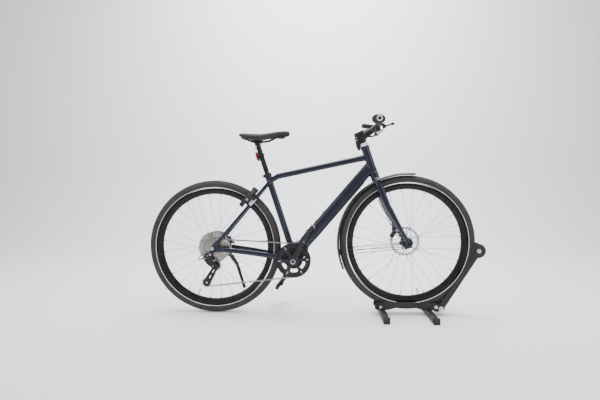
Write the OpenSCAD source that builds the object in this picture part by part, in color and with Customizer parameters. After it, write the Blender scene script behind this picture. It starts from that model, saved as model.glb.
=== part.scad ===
// Pedal-assist city bicycle parked with its front wheel in a roll-in wheel holder.
// X runs forward along the bicycle, Y to its left, Z up; the origin is the bottom centre of the whole.

/* [Wheels] */
// Diameter of the rim's bead seat
bead_d = 622; // [559:1:622]
// Width of the tyre
tyre_w = 47; // [32:1:50]
// Thickness of the tyre's wall
tyre_wall = 3; // [2:0.5:4]
// Depth of the rim from its edge to its inner nose
rim_depth = 32; // [20:1:40]
// Outside width of the rim
rim_w = 26; // [22:1:30]
// Spokes in each wheel, in groups of four
spoke_count = 28; // [20:4:36]
// Diameter of a spoke
spoke_d = 2; // [1.8:0.1:2.6]
// Diameter of the hub's spoke flanges
flange_d = 58; // [50:1:66]
// Diameter of each brake disc
disc_d = 160; // [140:10:180]
// Diameter of both wheel axles
axle_d = 12; // [10:1:15]

/* [Frame] */
// Distance between the wheel centres along the ground
wheelbase = 1029.6; // [980:1:1100]
// Height that the wheel holder lifts the front wheel
front_lift = 27.4; // [15:1:45]
// Crank centre forward of the rear axle
bb_x = 427; // [410:1:450]
// Height of the crank centre
bb_z = 294; // [280:1:310]
// Angle of the seat tube above the horizontal
seat_angle = 72; // [70:0.5:75]
// Angle of the steering axis above the horizontal
head_angle = 71; // [69:0.5:74]
// Distance of the front axle ahead of the steering axis
fork_offset = 48; // [40:1:55]
// Distance from the front axle's height to the head tube, along the steering axis
fork_len = 412; // [390:1:440]
// Length of the head tube
head_len = 146; // [110:1:180]
// Diameter of the head tube
head_d = 44; // [40:1:50]
// Length of the seat tube from the crank centre
seat_tube_len = 484; // [430:1:560]
// Diameter of the seat tube
seat_tube_d = 35; // [32:1:40]
// Depth of the top tube
top_d = 32; // [26:1:40]
// Width of the top tube
top_w = 34; // [28:1:42]
// Depth of the down tube
down_d = 64; // [56:1:76]
// Width of the down tube
down_w = 60; // [52:1:64]
// Thickness of the tube walls
wall = 2.4; // [1.6:0.2:3.6]
// Distance between the two bottle bosses
boss_gap = 64; // [60:1:70]
// Diameter of the seat post
post_d = 27.2; // [25.4:0.1:30.9]
// Length of seat post inside the seat tube
post_in = 160; // [100:5:200]
// Outside distance between the rear drop-outs
rear_width = 154; // [150:1:160]
// Outside distance between the fork ends
fork_width = 132; // [128:1:140]

/* [Cockpit] */
// Overall width of the handlebar with its grips
bar_w = 628; // [560:2:700]
// Diameter of the handlebar
bar_d = 22.2; // [22:0.1:25.4]
// Diameter of the handlebar's middle
bar_mid_d = 25.4; // [25.4:0.2:31.8]
// Reach of the stem
stem_len = 88; // [60:1:120]
// Rise angle of the stem above square to the steering axis
stem_rise = 8; // [0:1:20]
// Height of the stem's clamp above the head tube
stem_stack = 78; // [50:1:95]
// Backward sweep of each bar end
bar_sweep = 6; // [0:1:15]
// Length of each grip
grip_len = 130; // [100:1:140]
// Reach of each brake lever
lever_len = 98; // [80:1:110]

/* [Drive] */
// Teeth on the chainring
ring_teeth = 44; // [38:1:46]
// Teeth on the sprocket that carries the chain
cog_teeth = 24; // [18:1:28]
// Teeth on the largest sprocket
big_cog_teeth = 42; // [36:1:46]
// Teeth on each derailleur pulley
pulley_teeth = 11; // [10:1:13]
// Pitch of the chain
pitch = 12.7; // [12.7:0.1:12.7]
// Distance of the chain from the middle plane
chain_line = 45; // [44:0.5:48]
// Length of each crank arm
crank_len = 175; // [165:1:178]
// Angle of the right crank above the horizontal
crank_angle = 64; // [50:1:80]
// Distance between the outer faces of the crank arms
crank_span = 176; // [170:1:190]

/* [Saddle] */
// Length of the saddle
saddle_len = 270; // [250:1:290]
// Width of the saddle
saddle_w = 150; // [135:1:180]
// Height of the saddle's top
saddle_z = 972; // [950:1:1000]
// Distance between the saddle rails
rail_gap = 44; // [42:1:46]

/* [Wheel holder] */
// Length of the side plates
plate_len = 366; // [340:1:400]
// Height of the side plates' top edge
plate_top = 74; // [68:1:80]
// Thickness of each side plate
plate_t = 5; // [4:1:8]
// Clear width between the side plates
slot_w = 64; // [58:1:80]
// Length of each foot bar
foot_len = 352; // [300:2:420]
// Width and height of the foot bars
foot_s = 30; // [24:1:30]
// Angle of the swing arm above the horizontal
arm_angle = 58; // [54:0.5:60]
// Length of the swing arm between its pivot and its roller
arm_len = 363; // [350:1:372]
// Diameter of the roller's flanges
roller_d = 76; // [60:1:84]
// Diameter of the roller's core
core_d = 26; // [20:1:30]

/* [Hidden] */
$fn = 48;

// Clearances: free gap between bodies, running fit of a shaft, and a small overlap for clean cuts
gap = 0.6;
run = 0.05;
eps = 0.5;

// Wheels
wheel_r = bead_d / 2 + tyre_w;
tyre_r = tyre_w / 2;
rim_edge = bead_d / 2 + 6;
rim_nose = rim_edge - rim_depth;
hub_r = [0, wheel_r];
hub_f = [wheelbase, wheel_r + front_lift];

// Steering axis: s is measured up the axis from the point beside the front axle
function head_at(s, across = 0) = [
    hub_f[0] - fork_offset * sin(head_angle) - s * cos(head_angle) + across * sin(head_angle),
    hub_f[1] - fork_offset * cos(head_angle) + s * sin(head_angle) + across * cos(head_angle)
];
head_low = fork_len;
head_high = fork_len + head_len;
steerer_d = 28.6;

// Seat axis: s is measured up the seat tube from the crank centre
function seat_at(s) = [bb_x + 6 - s * cos(seat_angle), bb_z + s * sin(seat_angle)];
function p3(p, y = 0) = [p[0], y, p[1]];
function unit(v) = v / norm(v);
function dir2(angle) = [cos(angle), sin(angle)];

// Tube ends in the middle plane
top_a = head_at(head_high - 60);
top_bend = seat_at(seat_tube_len - 16) + [60, 1];
top_b = seat_at(seat_tube_len - 42);
down_a = head_at(head_low + 34) + [-10, -7];
down_b = [bb_x + 44, bb_z + 70];
stay_top = seat_at(seat_tube_len - 44) + [4, 0];
motor_w = 2 * (chain_line - 9);

// Wheel hubs across the bicycle
drop_in = rear_width / 2 - 9;
fork_in = fork_width / 2 - 14;
disc_y = 46;
disc_t = 1.8;

// Cockpit
stem_top = head_high + stem_stack;
clamp_c = head_at(stem_top - 18 + stem_len * sin(stem_rise), stem_len * cos(stem_rise));
bar_half = bar_w / 2 - 3;
bar_flat = 60;
function bar_at(y) = [
    clamp_c[0] - max(0, abs(y) - bar_flat) * tan(bar_sweep),
    y,
    clamp_c[1] + max(0, abs(y) - bar_flat) * 0.024
];
grip_r = 17;
lever_y = bar_half - grip_len - 26;

// Drive
roller_r = 3.85;
function pitch_r(teeth) = pitch / (2 * sin(180 / teeth));
ring_r = pitch_r(ring_teeth);
cog_r = pitch_r(cog_teeth);
pulley_r = pitch_r(pulley_teeth);
stub = roller_r + 0.6;
guide_c = [14, hub_r[1] - 96];
tension_c = guide_c + [-51, -91];
cog_step = 3.95;
arm_t = 13;
pedal_y = crank_span / 2 + 50;
function crank_end(side) = [
    bb_x - side * crank_len * cos(crank_angle),
    bb_z - side * crank_len * sin(crank_angle)
];

// Wheel holder: the roller's core and the rear cradle bar both stop just short of the tyre
roller_c = hub_f + (wheel_r + gap + core_d / 2) * dir2(-6);
pivot_c = roller_c - arm_len * dir2(arm_angle);
foot_rear_x = pivot_c[0] - 306;
foot_front_x = pivot_c[0] - 60;
plate_back = pivot_c[0] + 18 - plate_len;
cradle_r = 11;
function cradle_c(angle) = hub_f + (wheel_r + gap + cradle_r) * dir2(angle);

// The whole stands with its bounding box centred on the origin
back_x = -wheel_r;
front_x = roller_c[0] + roller_d / 2;
shift_x = -(back_x + front_x) / 2;

module place() translate([shift_x, 0, 0]) children();

// Turns Z to run from a to b, with the profile's X in the upright plane through the line
module along(a, b) {
    v = b - a;
    translate(a) rotate([0, acos(v[2] / norm(v)), atan2(v[1], v[0])]) children();
}
module rod(a, b, r) along(a, b) cylinder(h = norm(b - a), r = r);
// A solid of revolution about an axis across the bicycle, drawn as [radius, across]
module lathe_y(c) translate([c[0], 0, c[1]]) rotate([-90, 0, 0]) rotate_extrude($fn = 96) children();
// A shape drawn in X and Z, from y0 to y1
module slab(y0, y1) translate([0, y1, 0]) rotate([90, 0, 0]) linear_extrude(height = y1 - y0) children();
module disc(c, r, y0, y1) translate([c[0], y0, c[1]]) rotate([-90, 0, 0]) cylinder(h = y1 - y0, r = r);
// A bar from p to q with round ends w wide and a slightly waisted middle, drawn in the plane
module bar2(p, q, w, waist = 0.97) {
    translate(p) circle(d = w);
    translate(q) circle(d = w);
    translate(p) rotate(atan2(q[1] - p[1], q[0] - p[0])) translate([0, -w * waist / 2])
        square([norm(q - p), w * waist]);
}
module round_rect(d, w, r) {
    square([d - 2 * r, w], center = true);
    square([d, w - 2 * r], center = true);
    for (x = [-1, 1], y = [-1, 1]) translate([x * (d / 2 - r), y * (w / 2 - r)]) circle(r = r);
}
module tube(a, b, d, w, r, t = wall) {
    along(a, b) linear_extrude(height = norm(b - a)) difference() {
        round_rect(d, w, r);
        round_rect(d - 2 * t, w - 2 * t, r - t);
    }
}
// A shape along the steering axis, from s = a to s = b
module on_head(a, b) along(p3(head_at(a)), p3(head_at(b))) children();

// ---- Wheel holder ----
module stand_plate(side) {
    y0 = slot_w / 2;
    y1 = y0 + plate_t;
    slab(side < 0 ? -y1 : y0, side < 0 ? -y0 : y1) difference() {
        polygon([
            [plate_back, 52], [plate_back + 26, plate_top], [pivot_c[0] - 40, plate_top - 4],
            [pivot_c[0] + 18, 52], [pivot_c[0] + 18, 28], [foot_front_x + foot_s, 22],
            [foot_front_x + foot_s, foot_s], [foot_front_x - foot_s, foot_s], [foot_front_x - 60, 38],
            [foot_rear_x + 60, 38], [foot_rear_x + foot_s, foot_s], [plate_back + 4, foot_s]
        ]);
        translate(pivot_c) circle(r = 6 + run);
        for (a = [-112, -66]) translate(cradle_c(a)) circle(r = 4);
    }
}
module stand_plate_right() color("#17181a") place() stand_plate(-1);
module stand_plate_left() color("#17181a") place() stand_plate(1);

module stand_feet() color("#121315") place() {
    for (x = [foot_rear_x, foot_front_x]) {
        translate([x - foot_s / 2, -foot_len / 2 + 14, 2]) cube([foot_s, foot_len - 28, foot_s - 2]);
        for (side = [-1, 1]) translate([x, side * (foot_len / 2 - 7), 16.5])
            rotate([90, 0, 0]) linear_extrude(height = 14, center = true) round_rect(foot_s + 4, 33, 5);
    }
}

// Cross bars that carry the tyre, one behind and one ahead of its lowest point
module stand_cradle() color("#202225") place() for (a = [-112, -66])
    disc(cradle_c(a), cradle_r, -slot_w / 2, slot_w / 2);

module stand_bolts() color("#b9bcc0") place() {
    y = slot_w / 2 + plate_t;
    disc(pivot_c, 6, -y - 3, y + 3);
    for (side = [-1, 1]) disc(pivot_c, 11, side * (y + 4) - 4, side * (y + 4) + 4);
    for (a = [-112, -66], side = [-1, 1])
        disc(cradle_c(a), 7, min(side * y, side * (y + 4)), max(side * y, side * (y + 4)));
}

// Two blades with a spacer tube at each end; the blades stand inside the side plates
blade_y = slot_w / 2 - gap;
blade_t = 4;
module stand_arm() color("#17181a") place() difference() {
    union() {
        for (side = [-1, 1]) slab(side < 0 ? -blade_y : blade_y - blade_t, side < 0 ? blade_t - blade_y : blade_y)
            bar2(pivot_c, roller_c, 30);
        disc(pivot_c, 12, -blade_y, blade_y);
        disc(pivot_c + 0.1 * (roller_c - pivot_c) + 4 * dir2(arm_angle - 90), 7, -blade_y, blade_y);
    }
    disc(pivot_c, 6 + run, -60, 60);
    disc(roller_c, 5 + run, -60, 60);
}
module roller_bolt() color("#b9bcc0") place() {
    disc(roller_c, 5, -blade_y - 2, blade_y + 2);
    for (side = [-1, 1]) disc(roller_c, 9, side * (blade_y + 3.5) - 3.5, side * (blade_y + 3.5) + 3.5);
}
// Spool whose flanges stand either side of the tyre
module stand_roller() color("#1b1c1e") place() {
    flange_in = tyre_r + 1.2;
    flange_out = blade_y - blade_t - 0.4;
    difference() {
        union() {
            disc(roller_c, core_d / 2, -flange_out, flange_out);
            for (side = [-1, 1])
                disc(roller_c, roller_d / 2, side < 0 ? -flange_out : flange_in, side < 0 ? -flange_in : flange_out);
        }
        disc(roller_c, 5 + run, -60, 60);
    }
}

// ---- Wheels ----
module tyre(c) lathe_y(c) difference() {
    translate([wheel_r - tyre_r, 0]) circle(r = tyre_r);
    translate([wheel_r - tyre_r, 0]) circle(r = tyre_r - tyre_wall);
    translate([rim_edge - 40, -30]) square([40.2, 60]);
}
module rim(c) lathe_y(c) difference() {
    polygon([
        [rim_edge, -rim_w / 2], [rim_edge - 10, -rim_w / 2], [rim_nose + 4, -5], [rim_nose, -3],
        [rim_nose, 3], [rim_nose + 4, 5], [rim_edge - 10, rim_w / 2], [rim_edge, rim_w / 2]
    ]);
    translate([rim_edge - 6, -rim_w / 2 + 2.5]) square([20, rim_w - 5]);
    translate([rim_edge - 10, -5]) square([20, 10]);
}
// Spokes leave the flanges in crossing pairs and meet the rim evenly spaced
module spokes(c, flange_y) translate(p3(c)) for (k = [0 : spoke_count - 1]) {
    side = k % 2 == 0 ? 1 : -1;
    lean = k % 4 < 2 ? 1 : -1;
    at_rim = (k + 0.5) * 360 / spoke_count;
    at_hub = at_rim + lean * 68;
    layer = side * flange_y + lean * spoke_d * 1.1;
    a = [(flange_d / 2 - 4) * cos(at_hub), layer, (flange_d / 2 - 4) * sin(at_hub)];
    b = [(rim_nose + 4) * cos(at_rim), side * 2, (rim_nose + 4) * sin(at_rim)];
    rod(a, b, spoke_d / 2);
    rod(b - 15 * unit(b - a), b, 2.1);
}
module hub(c, y0, y1, flange_y, barrel) difference() {
    union() {
        disc(c, barrel / 2, y0, y1);
        for (y = [-1, 1]) disc(c, flange_d / 2, y * flange_y - 1.8, y * flange_y + 1.8);
        disc(c, 23, disc_y - 7, disc_y);
    }
    disc(c, axle_d / 2 + run, -100, 100);
}
// Brake disc with a braking ring, six slanting arms and a centre carrier on the hub's barrel
module brake_disc(c, barrel_r) difference() {
    slab(disc_y, disc_y + disc_t) translate(c) {
        difference() {
            circle(d = disc_d, $fn = 96);
            circle(d = disc_d - 28, $fn = 96);
            for (k = [0 : 23]) rotate(k * 15) translate([disc_d / 2 - 7, 0]) rotate(35) square([7, 3], center = true);
        }
        difference() {
            circle(r = 25);
            circle(r = barrel_r + run);
        }
        for (k = [0 : 5]) rotate(k * 60) bar2([22, 0], disc_d / 2 * dir2(24) - 12 * dir2(24), 6);
    }
}
front_flange = 27;
rear_flange = 24;
front_barrel = 34;
rear_barrel = 38;
module front_tyre() color("#26262a") place() tyre(hub_f);
module front_rim() color("#111214") place() rim(hub_f);
module front_spokes() color("#c3c5c8") place() spokes(hub_f, front_flange);
module front_hub() color("#191a1c") place() hub(hub_f, -fork_in + gap, fork_in - gap, front_flange, front_barrel);
module front_disc() color("#b7b9bc") place() brake_disc(hub_f, front_barrel / 2);
module front_axle() color("#1a1b1d") place() {
    disc(hub_f, axle_d / 2, -fork_width / 2 - 3, fork_width / 2 + 3);
    for (side = [-1, 1]) disc(hub_f, 9, side < 0 ? -fork_width / 2 - 3 : fork_width / 2,
        side < 0 ? -fork_width / 2 : fork_width / 2 + 3);
}
module rear_tyre() color("#26262a") place() tyre(hub_r);
module rear_rim() color("#111214") place() rim(hub_r);
module rear_spokes() color("#c3c5c8") place() spokes(hub_r, rear_flange);
module rear_hub() color("#191a1c") place() hub(hub_r, -rear_flange - 1.8, drop_in - gap, rear_flange, rear_barrel);
module rear_disc() color("#b7b9bc") place() brake_disc(hub_r, rear_barrel / 2);

// ---- Fork and cockpit ----
module fork_leg(side) {
    y_out = side * (fork_width / 2 - 7);
    crown = p3(head_at(head_low - 62), side * 42);
    knee = p3(head_at(head_low - 190, 8), side * 50);
    tip = p3(hub_f, y_out);
    hull() {
        translate(crown) sphere(d = 36, $fn = 24);
        translate(knee) sphere(d = 32, $fn = 24);
    }
    hull() {
        translate(knee) sphere(d = 32, $fn = 24);
        translate(tip + 46 * unit(knee - tip)) sphere(d = 22, $fn = 24);
    }
    rod(tip + 60 * unit(knee - tip), tip, 9);
}
module fork() color("#2a3140") place() difference() {
    union() {
        for (side = [-1, 1]) {
            fork_leg(side);
            disc(hub_f, 15, side < 0 ? -fork_width / 2 : fork_in, side < 0 ? -fork_in : fork_width / 2);
            hull() {
                translate(p3(head_at(head_low - 62), side * 42)) sphere(d = 36, $fn = 24);
                translate(p3(head_at(head_low - 26), 0)) sphere(d = 44, $fn = 24);
            }
        }
        on_head(head_low - 40, head_low - gap) cylinder(h = 40 - gap, d = head_d + 4);
        on_head(head_low - 1, stem_top - 4) cylinder(h = stem_top - head_low - 3, d = steerer_d);
    }
    disc(hub_f, axle_d / 2, -100, 100);
    // Room for the tyre and its mudguard under the crown, and for the hub between the ends
    disc(hub_f, wheel_r + 17, -31, 31);
    disc(hub_f, 90, -fork_in, fork_in);
}

module stem() color("#141517") place() difference() {
    union() {
        on_head(head_high + 1, head_high + 16) cylinder(h = 15, d = head_d);
        on_head(head_high + 15, stem_top) cylinder(h = stem_top - head_high - 15, d = 38);
        on_head(stem_top - 1, stem_top + 3) cylinder(h = 4, d = 34);
        along(p3(head_at(stem_top - 18)), p3(clamp_c)) linear_extrude(height = norm(clamp_c - head_at(stem_top - 18)) - 12)
            round_rect(30, 34, 9);
        disc(clamp_c, bar_mid_d / 2 + 5, -23, 23);
    }
    on_head(head_high - 5, stem_top - 4) cylinder(h = stem_top - head_high + 1, d = steerer_d);
    disc(clamp_c, bar_mid_d / 2, -60, 60);
}
module handlebar() color("#151618") place() {
    lap = bar_d / 2 * tan(bar_sweep);
    rod(bar_at(-bar_flat) - [0, lap, 0], bar_at(bar_flat) + [0, lap, 0], bar_mid_d / 2);
    for (side = [-1, 1]) rod(bar_at(side * bar_flat), bar_at(side * bar_half), bar_d / 2);
}
// Round grips with a palm rest that points back, and a flat end cap
module grip(side) difference() {
    a = bar_at(side * (bar_half - grip_len));
    b = bar_at(side * bar_half) + [0, side * 3, 0];
    union() {
        rod(a, b, grip_r);
        rod(b - [0, side * 16, 0], b, 21);
        hull() {
            translate(a + (b - a) * 0.35) sphere(d = 28, $fn = 20);
            translate(b + [14, -side * 14, 0]) sphere(d = 18, $fn = 20);
            translate(b + [-24, -side * 16, -1]) sphere(d = 14, $fn = 20);
            translate(b + [-22, -side * 42, -2]) sphere(d = 12, $fn = 20);
        }
    }
    rod(a - 10 * unit(b - a), bar_at(side * bar_half), bar_d / 2);
}
module grips() color("#1a1b1d") place() for (side = [-1, 1]) grip(side);

// Brake clamps with their reservoirs, shifter pod on the right and control pod on the left
lever_pivot_r = bar_at(-lever_y) + [30, 6, -14];
lever_pivot_l = bar_at(lever_y) + [30, -6, -14];
paddle_c = bar_at(-lever_y + 34) + [-4, 0, -30];
pod_y = 94;
pod_c = bar_at(pod_y) + [-22, 0, 17];
module clamp_ring(y, w) rod(bar_at(y - w / 2), bar_at(y + w / 2), bar_d / 2 + 4.5);
module control_clamps() color("#1c1d20") place() {
    for (side = [-1, 1]) {
        y = side * (lever_y - 8);
        pivot = side < 0 ? lever_pivot_r : lever_pivot_l;
        difference() {
            union() {
                clamp_ring(y, 14);
                rod(bar_at(y), bar_at(y) + [20, 0, -5], 6);
                rod(bar_at(y) + [17, side * 6, -5], bar_at(y) + [34, -side * 28, -6], 7.3);
                translate(pivot) cylinder(h = 19, r = 9, center = true);
            }
            rod(bar_at(y - 40), bar_at(y + 40), bar_d / 2);
            translate(pivot) cube([34, 36, 6 + 2 * gap], center = true);
        }
        translate(pivot) cylinder(h = 12, r = 3, center = true);
    }
    difference() {
        union() {
            clamp_ring(-lever_y + 34, 12);
            translate(paddle_c + [4, 3, 7]) rotate([90, 0, 0]) cylinder(h = 27, r = 12.6, center = true);
        }
        rod(bar_at(-lever_y + 4), bar_at(-lever_y + 64), bar_d / 2);
    }
    difference() {
        union() {
            clamp_ring(pod_y, 12);
            translate(pod_c) rotate([90, 8, 0]) linear_extrude(height = 40, center = true) bar2([-20, 0], [20, 0], 26);
        }
        rod(bar_at(pod_y - 30), bar_at(pod_y + 34), bar_d / 2);
        translate(pod_c + [-14, 0, 7]) rotate([0, -8, 0]) cylinder(h = 20, r = 6 + gap);
    }
}
module brake_lever(side) {
    pivot = side < 0 ? lever_pivot_r : lever_pivot_l;
    tip = pivot + [20, side * lever_len, -4];
    difference() {
        union() {
            translate(pivot) cylinder(h = 6, r = 7, center = true);
            translate(pivot + [0, 0, -3]) linear_extrude(height = 6) polygon([
                [2, -side * 6], [8, side * 10], [22, side * (lever_len - 10)], [26, side * lever_len],
                [17, side * lever_len], [13, side * (lever_len - 12)], [-6, side * 10]
            ]);
            translate([tip[0], tip[1], pivot[2]]) cylinder(h = 8, r = 5.5, center = true);
        }
        translate(pivot + [0, 0, -20]) cylinder(h = 40, r = 3 + run);
    }
}
module brake_lever_right() color("#202124") place() brake_lever(-1);
module brake_lever_left() color("#202124") place() brake_lever(1);
// Two thumb paddles behind and below the shifter pod, each on its own short post
module paddle(dy, reach) {
    c = paddle_c + [-13 - gap, dy, -2];
    translate(c + [0, -3, 0]) rotate([-90, 0, 0]) cylinder(h = 6, r = 4.5);
    translate(c + [0, -3, 0]) rotate([-90, 0, 0]) linear_extrude(height = 6) bar2([0, 0], [-reach, 8], 7);
}
module shift_paddle_up() color("#2a2b2e") place() paddle(-8, 20);
module shift_paddle_down() color("#2a2b2e") place() paddle(6, 27);
module control_button() color("#3f4347") place()
    translate(pod_c + [-14, 0, 9]) rotate([0, -8, 0]) cylinder(h = 7, r = 6);

// Hoses leave the lever reservoirs, dip ahead of the bar and enter the stem; one runs down the left blade
function bez(a, b, c, d, t) = a * pow(1 - t, 3) + b * 3 * t * pow(1 - t, 2) + c * 3 * t * t * (1 - t) + d * pow(t, 3);
function bez_run(a, b, c, d, n) = [for (k = [0 : n]) bez(a, b, c, d, k / n)];
// A tube of eight sides swept through points, one ring at each
module sweep_tube(points, r) {
    n = len(points);
    sides = 8;
    rings = [for (k = [0 : n - 1]) let (
            ahead = unit(points[min(k + 1, n - 1)] - points[max(k - 1, 0)]),
            u = unit(cross(ahead, abs(ahead[2]) > 0.9 ? [1, 0, 0] : [0, 0, 1])),
            v = cross(ahead, u)
        ) for (m = [0 : sides - 1]) points[k] + r * (cos(m * 45) * u + sin(m * 45) * v)];
    walls = [for (k = [0 : n - 2], m = [0 : sides - 1]) let (q = (m + 1) % sides)
        [k * sides + m, (k + 1) * sides + m, (k + 1) * sides + q, k * sides + q]];
    start = [for (m = [0 : sides - 1]) m];
    end = [for (m = [sides - 1 : -1 : 0]) (n - 1) * sides + m];
    polyhedron(points = rings, faces = concat(walls, [start], [end]));
}
hose_r = 2.5;
stem_port = p3(head_at(stem_top - 36, 30));
module hoses() color("#101113") place() {
    right_end = bar_at(-lever_y + 8) + [38, 34, -6];
    left_end = bar_at(lever_y - 8) + [38, -34, -6];
    sweep_tube(bez_run(right_end, right_end + [16, 60, -4], stem_port + [60, -50, 0], stem_port + [0, -8, 0], 16),
        hose_r);
    sweep_tube(bez_run(left_end, left_end + [16, -60, -4], stem_port + [60, 50, 0], stem_port + [0, 8, 0], 16),
        hose_r);
    leg = p3(head_at(head_low - 150, -14), 72);
    down = p3(hub_f, 72);
    sweep_tube(bez_run(leg, leg + [30, 6, -70], down + [-78, 10, 130], down + [-74, -10, 84], 14), hose_r);
}

// Mudguard: a curved channel round the rear upper part of the front wheel, with two wire stays a side
guard_r = wheel_r + 13;
guard_from = 84;
guard_to = 203;
module front_mudguard() color("#0f1012") place() {
    difference() {
        translate(p3(hub_f)) rotate([90, 0, 0]) rotate([0, 0, guard_from])
            rotate_extrude(angle = guard_to - guard_from, $fn = 96) difference() {
                translate([guard_r - 12, -27]) square([13.5, 54]);
                translate([guard_r - 13, -25]) square([13, 50]);
            }
        on_head(head_low - 66, head_low) cylinder(h = 80, r = 9);
    }
    for (side = [-1, 1], k = [0, 1]) {
        tie = hub_f + (guard_r - 9) * dir2(186 + k * 4);
        rod(p3(tie, side * 26.5), p3(hub_f + [-18, -14 - k * 7], side * (fork_width / 2 + 3)), 1.7);
    }
    for (side = [-1, 1]) disc(hub_f + [-18, -17.5], 6, side < 0 ? -fork_width / 2 - 5 : fork_width / 2 + 0.5,
        side < 0 ? -fork_width / 2 - 0.5 : fork_width / 2 + 5);
}

// Caliper: a block over the edge of the brake disc, slotted so that the disc runs free
module caliper(c, at, foot) difference() {
    center = c + (disc_d / 2 - 6) * dir2(at);
    union() {
        translate(p3(center, disc_y + disc_t / 2)) rotate([0, -at - 90, 0]) rotate([90, 0, 0])
            linear_extrude(height = 34, center = true) round_rect(46, 26, 6);
        rod(p3(center, disc_y + 8), p3(foot, disc_y + 14), 6);
    }
    disc(c, disc_d / 2 + 1, disc_y - 1.2, disc_y + disc_t + 1.2);
}
module front_caliper() color("#18191b") place() difference() {
    caliper(hub_f, 148, hub_f + [-62, 78]);
    disc(hub_f, wheel_r - 12, 0, 24);
}

// ---- Frame ----
module head_tube() color("#2a3140") place() difference() {
    union() {
        on_head(head_low, head_high) cylinder(h = head_len, d = head_d);
        on_head(head_low, head_low + 16) cylinder(h = 16, d = head_d + 4);
        on_head(head_high - 12, head_high) cylinder(h = 12, d = head_d + 2);
    }
    on_head(head_low - 5, head_high + 5) cylinder(h = head_len + 10, d = head_d - 2 * wall - 4);
    for (s = [head_low - 1, head_high - 7]) on_head(s, s + 8) cylinder(h = 8, d = head_d - 2);
}
module headset_bearings() color("#8d9094") place() for (s = [head_low, head_high - 7]) difference() {
    on_head(s, s + 7) cylinder(h = 7, d = head_d - 2);
    on_head(s - 5, s + 12) cylinder(h = 17, d = steerer_d + 2 * run);
}
module head_core(extra = 0) on_head(head_low - 2, head_high + 2) cylinder(h = head_len + 4, d = head_d + extra);
module seat_core(extra = 0)
    along(p3(seat_at(40)), p3(seat_at(seat_tube_len + 60))) cylinder(h = seat_tube_len + 20, d = seat_tube_d + extra);

module top_tube() color("#2a3140") place() difference() {
    union() {
        tube(p3(top_bend), p3(top_a), top_d, top_w, 12);
        tube(p3(top_b), p3(top_bend), top_d - 2, top_w, 12);
        translate(p3(top_bend)) sphere(d = top_d - 4);
    }
    head_core();
    seat_core();
}
// Bottle bosses: threaded sleeves through the tube's upper wall
boss_s = 150;
boss_deep = 7;
module at_bosses() along(p3(down_b), p3(down_a)) for (k = [0, 1])
    translate([-down_d / 2 - 1.5, 0, boss_s + k * boss_gap]) rotate([0, 90, 0]) children();
module down_tube() color("#2a3140") place() difference() {
    union() {
        tube(p3(down_b), p3(down_a), down_d, down_w, 20, 3);
        at_bosses() cylinder(h = boss_deep, r = 6);
    }
    head_core(4);
    on_head(head_low - 90, head_low + 2) cylinder(h = 92, r = 34);
    motor_shape(0.1);
    at_bosses() translate([0, 0, -5]) cylinder(h = 20, r = 2.5);
}
module battery() color("#1d1e21") place() along(p3(down_b), p3(down_a)) translate([0, 0, 92])
    linear_extrude(height = 360) round_rect(down_d - 14, down_w - 14, 12);

module seat_tube() color("#2a3140") place() difference() {
    along(p3(seat_at(60)), p3(seat_at(seat_tube_len))) cylinder(h = seat_tube_len - 60, d = seat_tube_d);
    along(p3(seat_at(70)), p3(seat_at(seat_tube_len + 5))) cylinder(h = seat_tube_len - 65, d = post_d + 2 * run);
    motor_shape(0.1);
}
// Motor casing: a drum round the crank, a body reaching up between the tubes and a rear foot
module motor_outline(g = 0) {
    translate([bb_x, bb_z]) circle(r = 50 + g);
    bar2([bb_x, bb_z + 22], [bb_x + 36, bb_z + 54], 84 + 2 * g);
    bar2([bb_x - 42, bb_z + 6], [bb_x - 6, bb_z + 60], 56 + 2 * g);
}
module motor_shape(g = 0) slab(-motor_w / 2 - g, motor_w / 2 + 6 + g) motor_outline(g);
module motor() color("#131416") place() difference() {
    motor_shape();
    disc([bb_x, bb_z], 12 + run, -100, 100);
    disc([bb_x, bb_z], 26, -100, -motor_w / 2 + 5);
}

// Chain stays with their plate drop-outs; the left one carries the kickstand plate
stay_front = [bb_x - 66, bb_z + 12];
kick_c = [58, 304];
module chain_stays() color("#2a3140") place() difference() {
    union() {
        for (side = [-1, 1]) {
            tube(p3(hub_r + [26, -4], side * (rear_width / 2 - 7.5)), p3(stay_front, side * 34), 26, 13, 6, 2);
            slab(side < 0 ? -rear_width / 2 + 2 : drop_in, side < 0 ? -drop_in : rear_width / 2 - 2) difference() {
                union() {
                    bar2(hub_r, hub_r + [36, -5], 30);
                    bar2(hub_r, hub_r + [22, 26], 22);
                    if (side < 0) bar2(hub_r, hub_r + [-8, -30], 18);
                }
                translate(hub_r) circle(d = axle_d);
            }
        }
        slab(drop_in, rear_width / 2 + 1) bar2(hub_r + [34, -10], kick_c, 24);
    }
    motor_shape(0.1);
    disc(hub_r, wheel_r + 6, -tyre_r - 3, tyre_r + 3);
    disc(kick_c, 5 + run, 0, 100);
}
module stay_pair(g = 0) for (side = [-1, 1]) {
    a = p3(hub_r + [20, 24], side * (rear_width / 2 - 7));
    b = p3(stay_top, side * 17);
    along(a, b) linear_extrude(height = norm(b - a)) round_rect(18 + 2 * g, 13 + 2 * g, 6 + g);
}
module seat_stays() color("#2a3140") place() difference() {
    union() {
        for (side = [-1, 1])
            tube(p3(hub_r + [20, 24], side * (rear_width / 2 - 7)), p3(stay_top, side * 17), 18, 13, 6, 2);
        disc(stay_top + [-26, -30], 8, -22, 22);
    }
    seat_core(0.2);
    slab(-rear_width / 2 + 1, rear_width / 2 - 1) difference() {
        union() {
            bar2(hub_r, hub_r + [36, -5], 30.2);
            bar2(hub_r, hub_r + [22, 26], 22.2);
        }
    }
}
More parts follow.
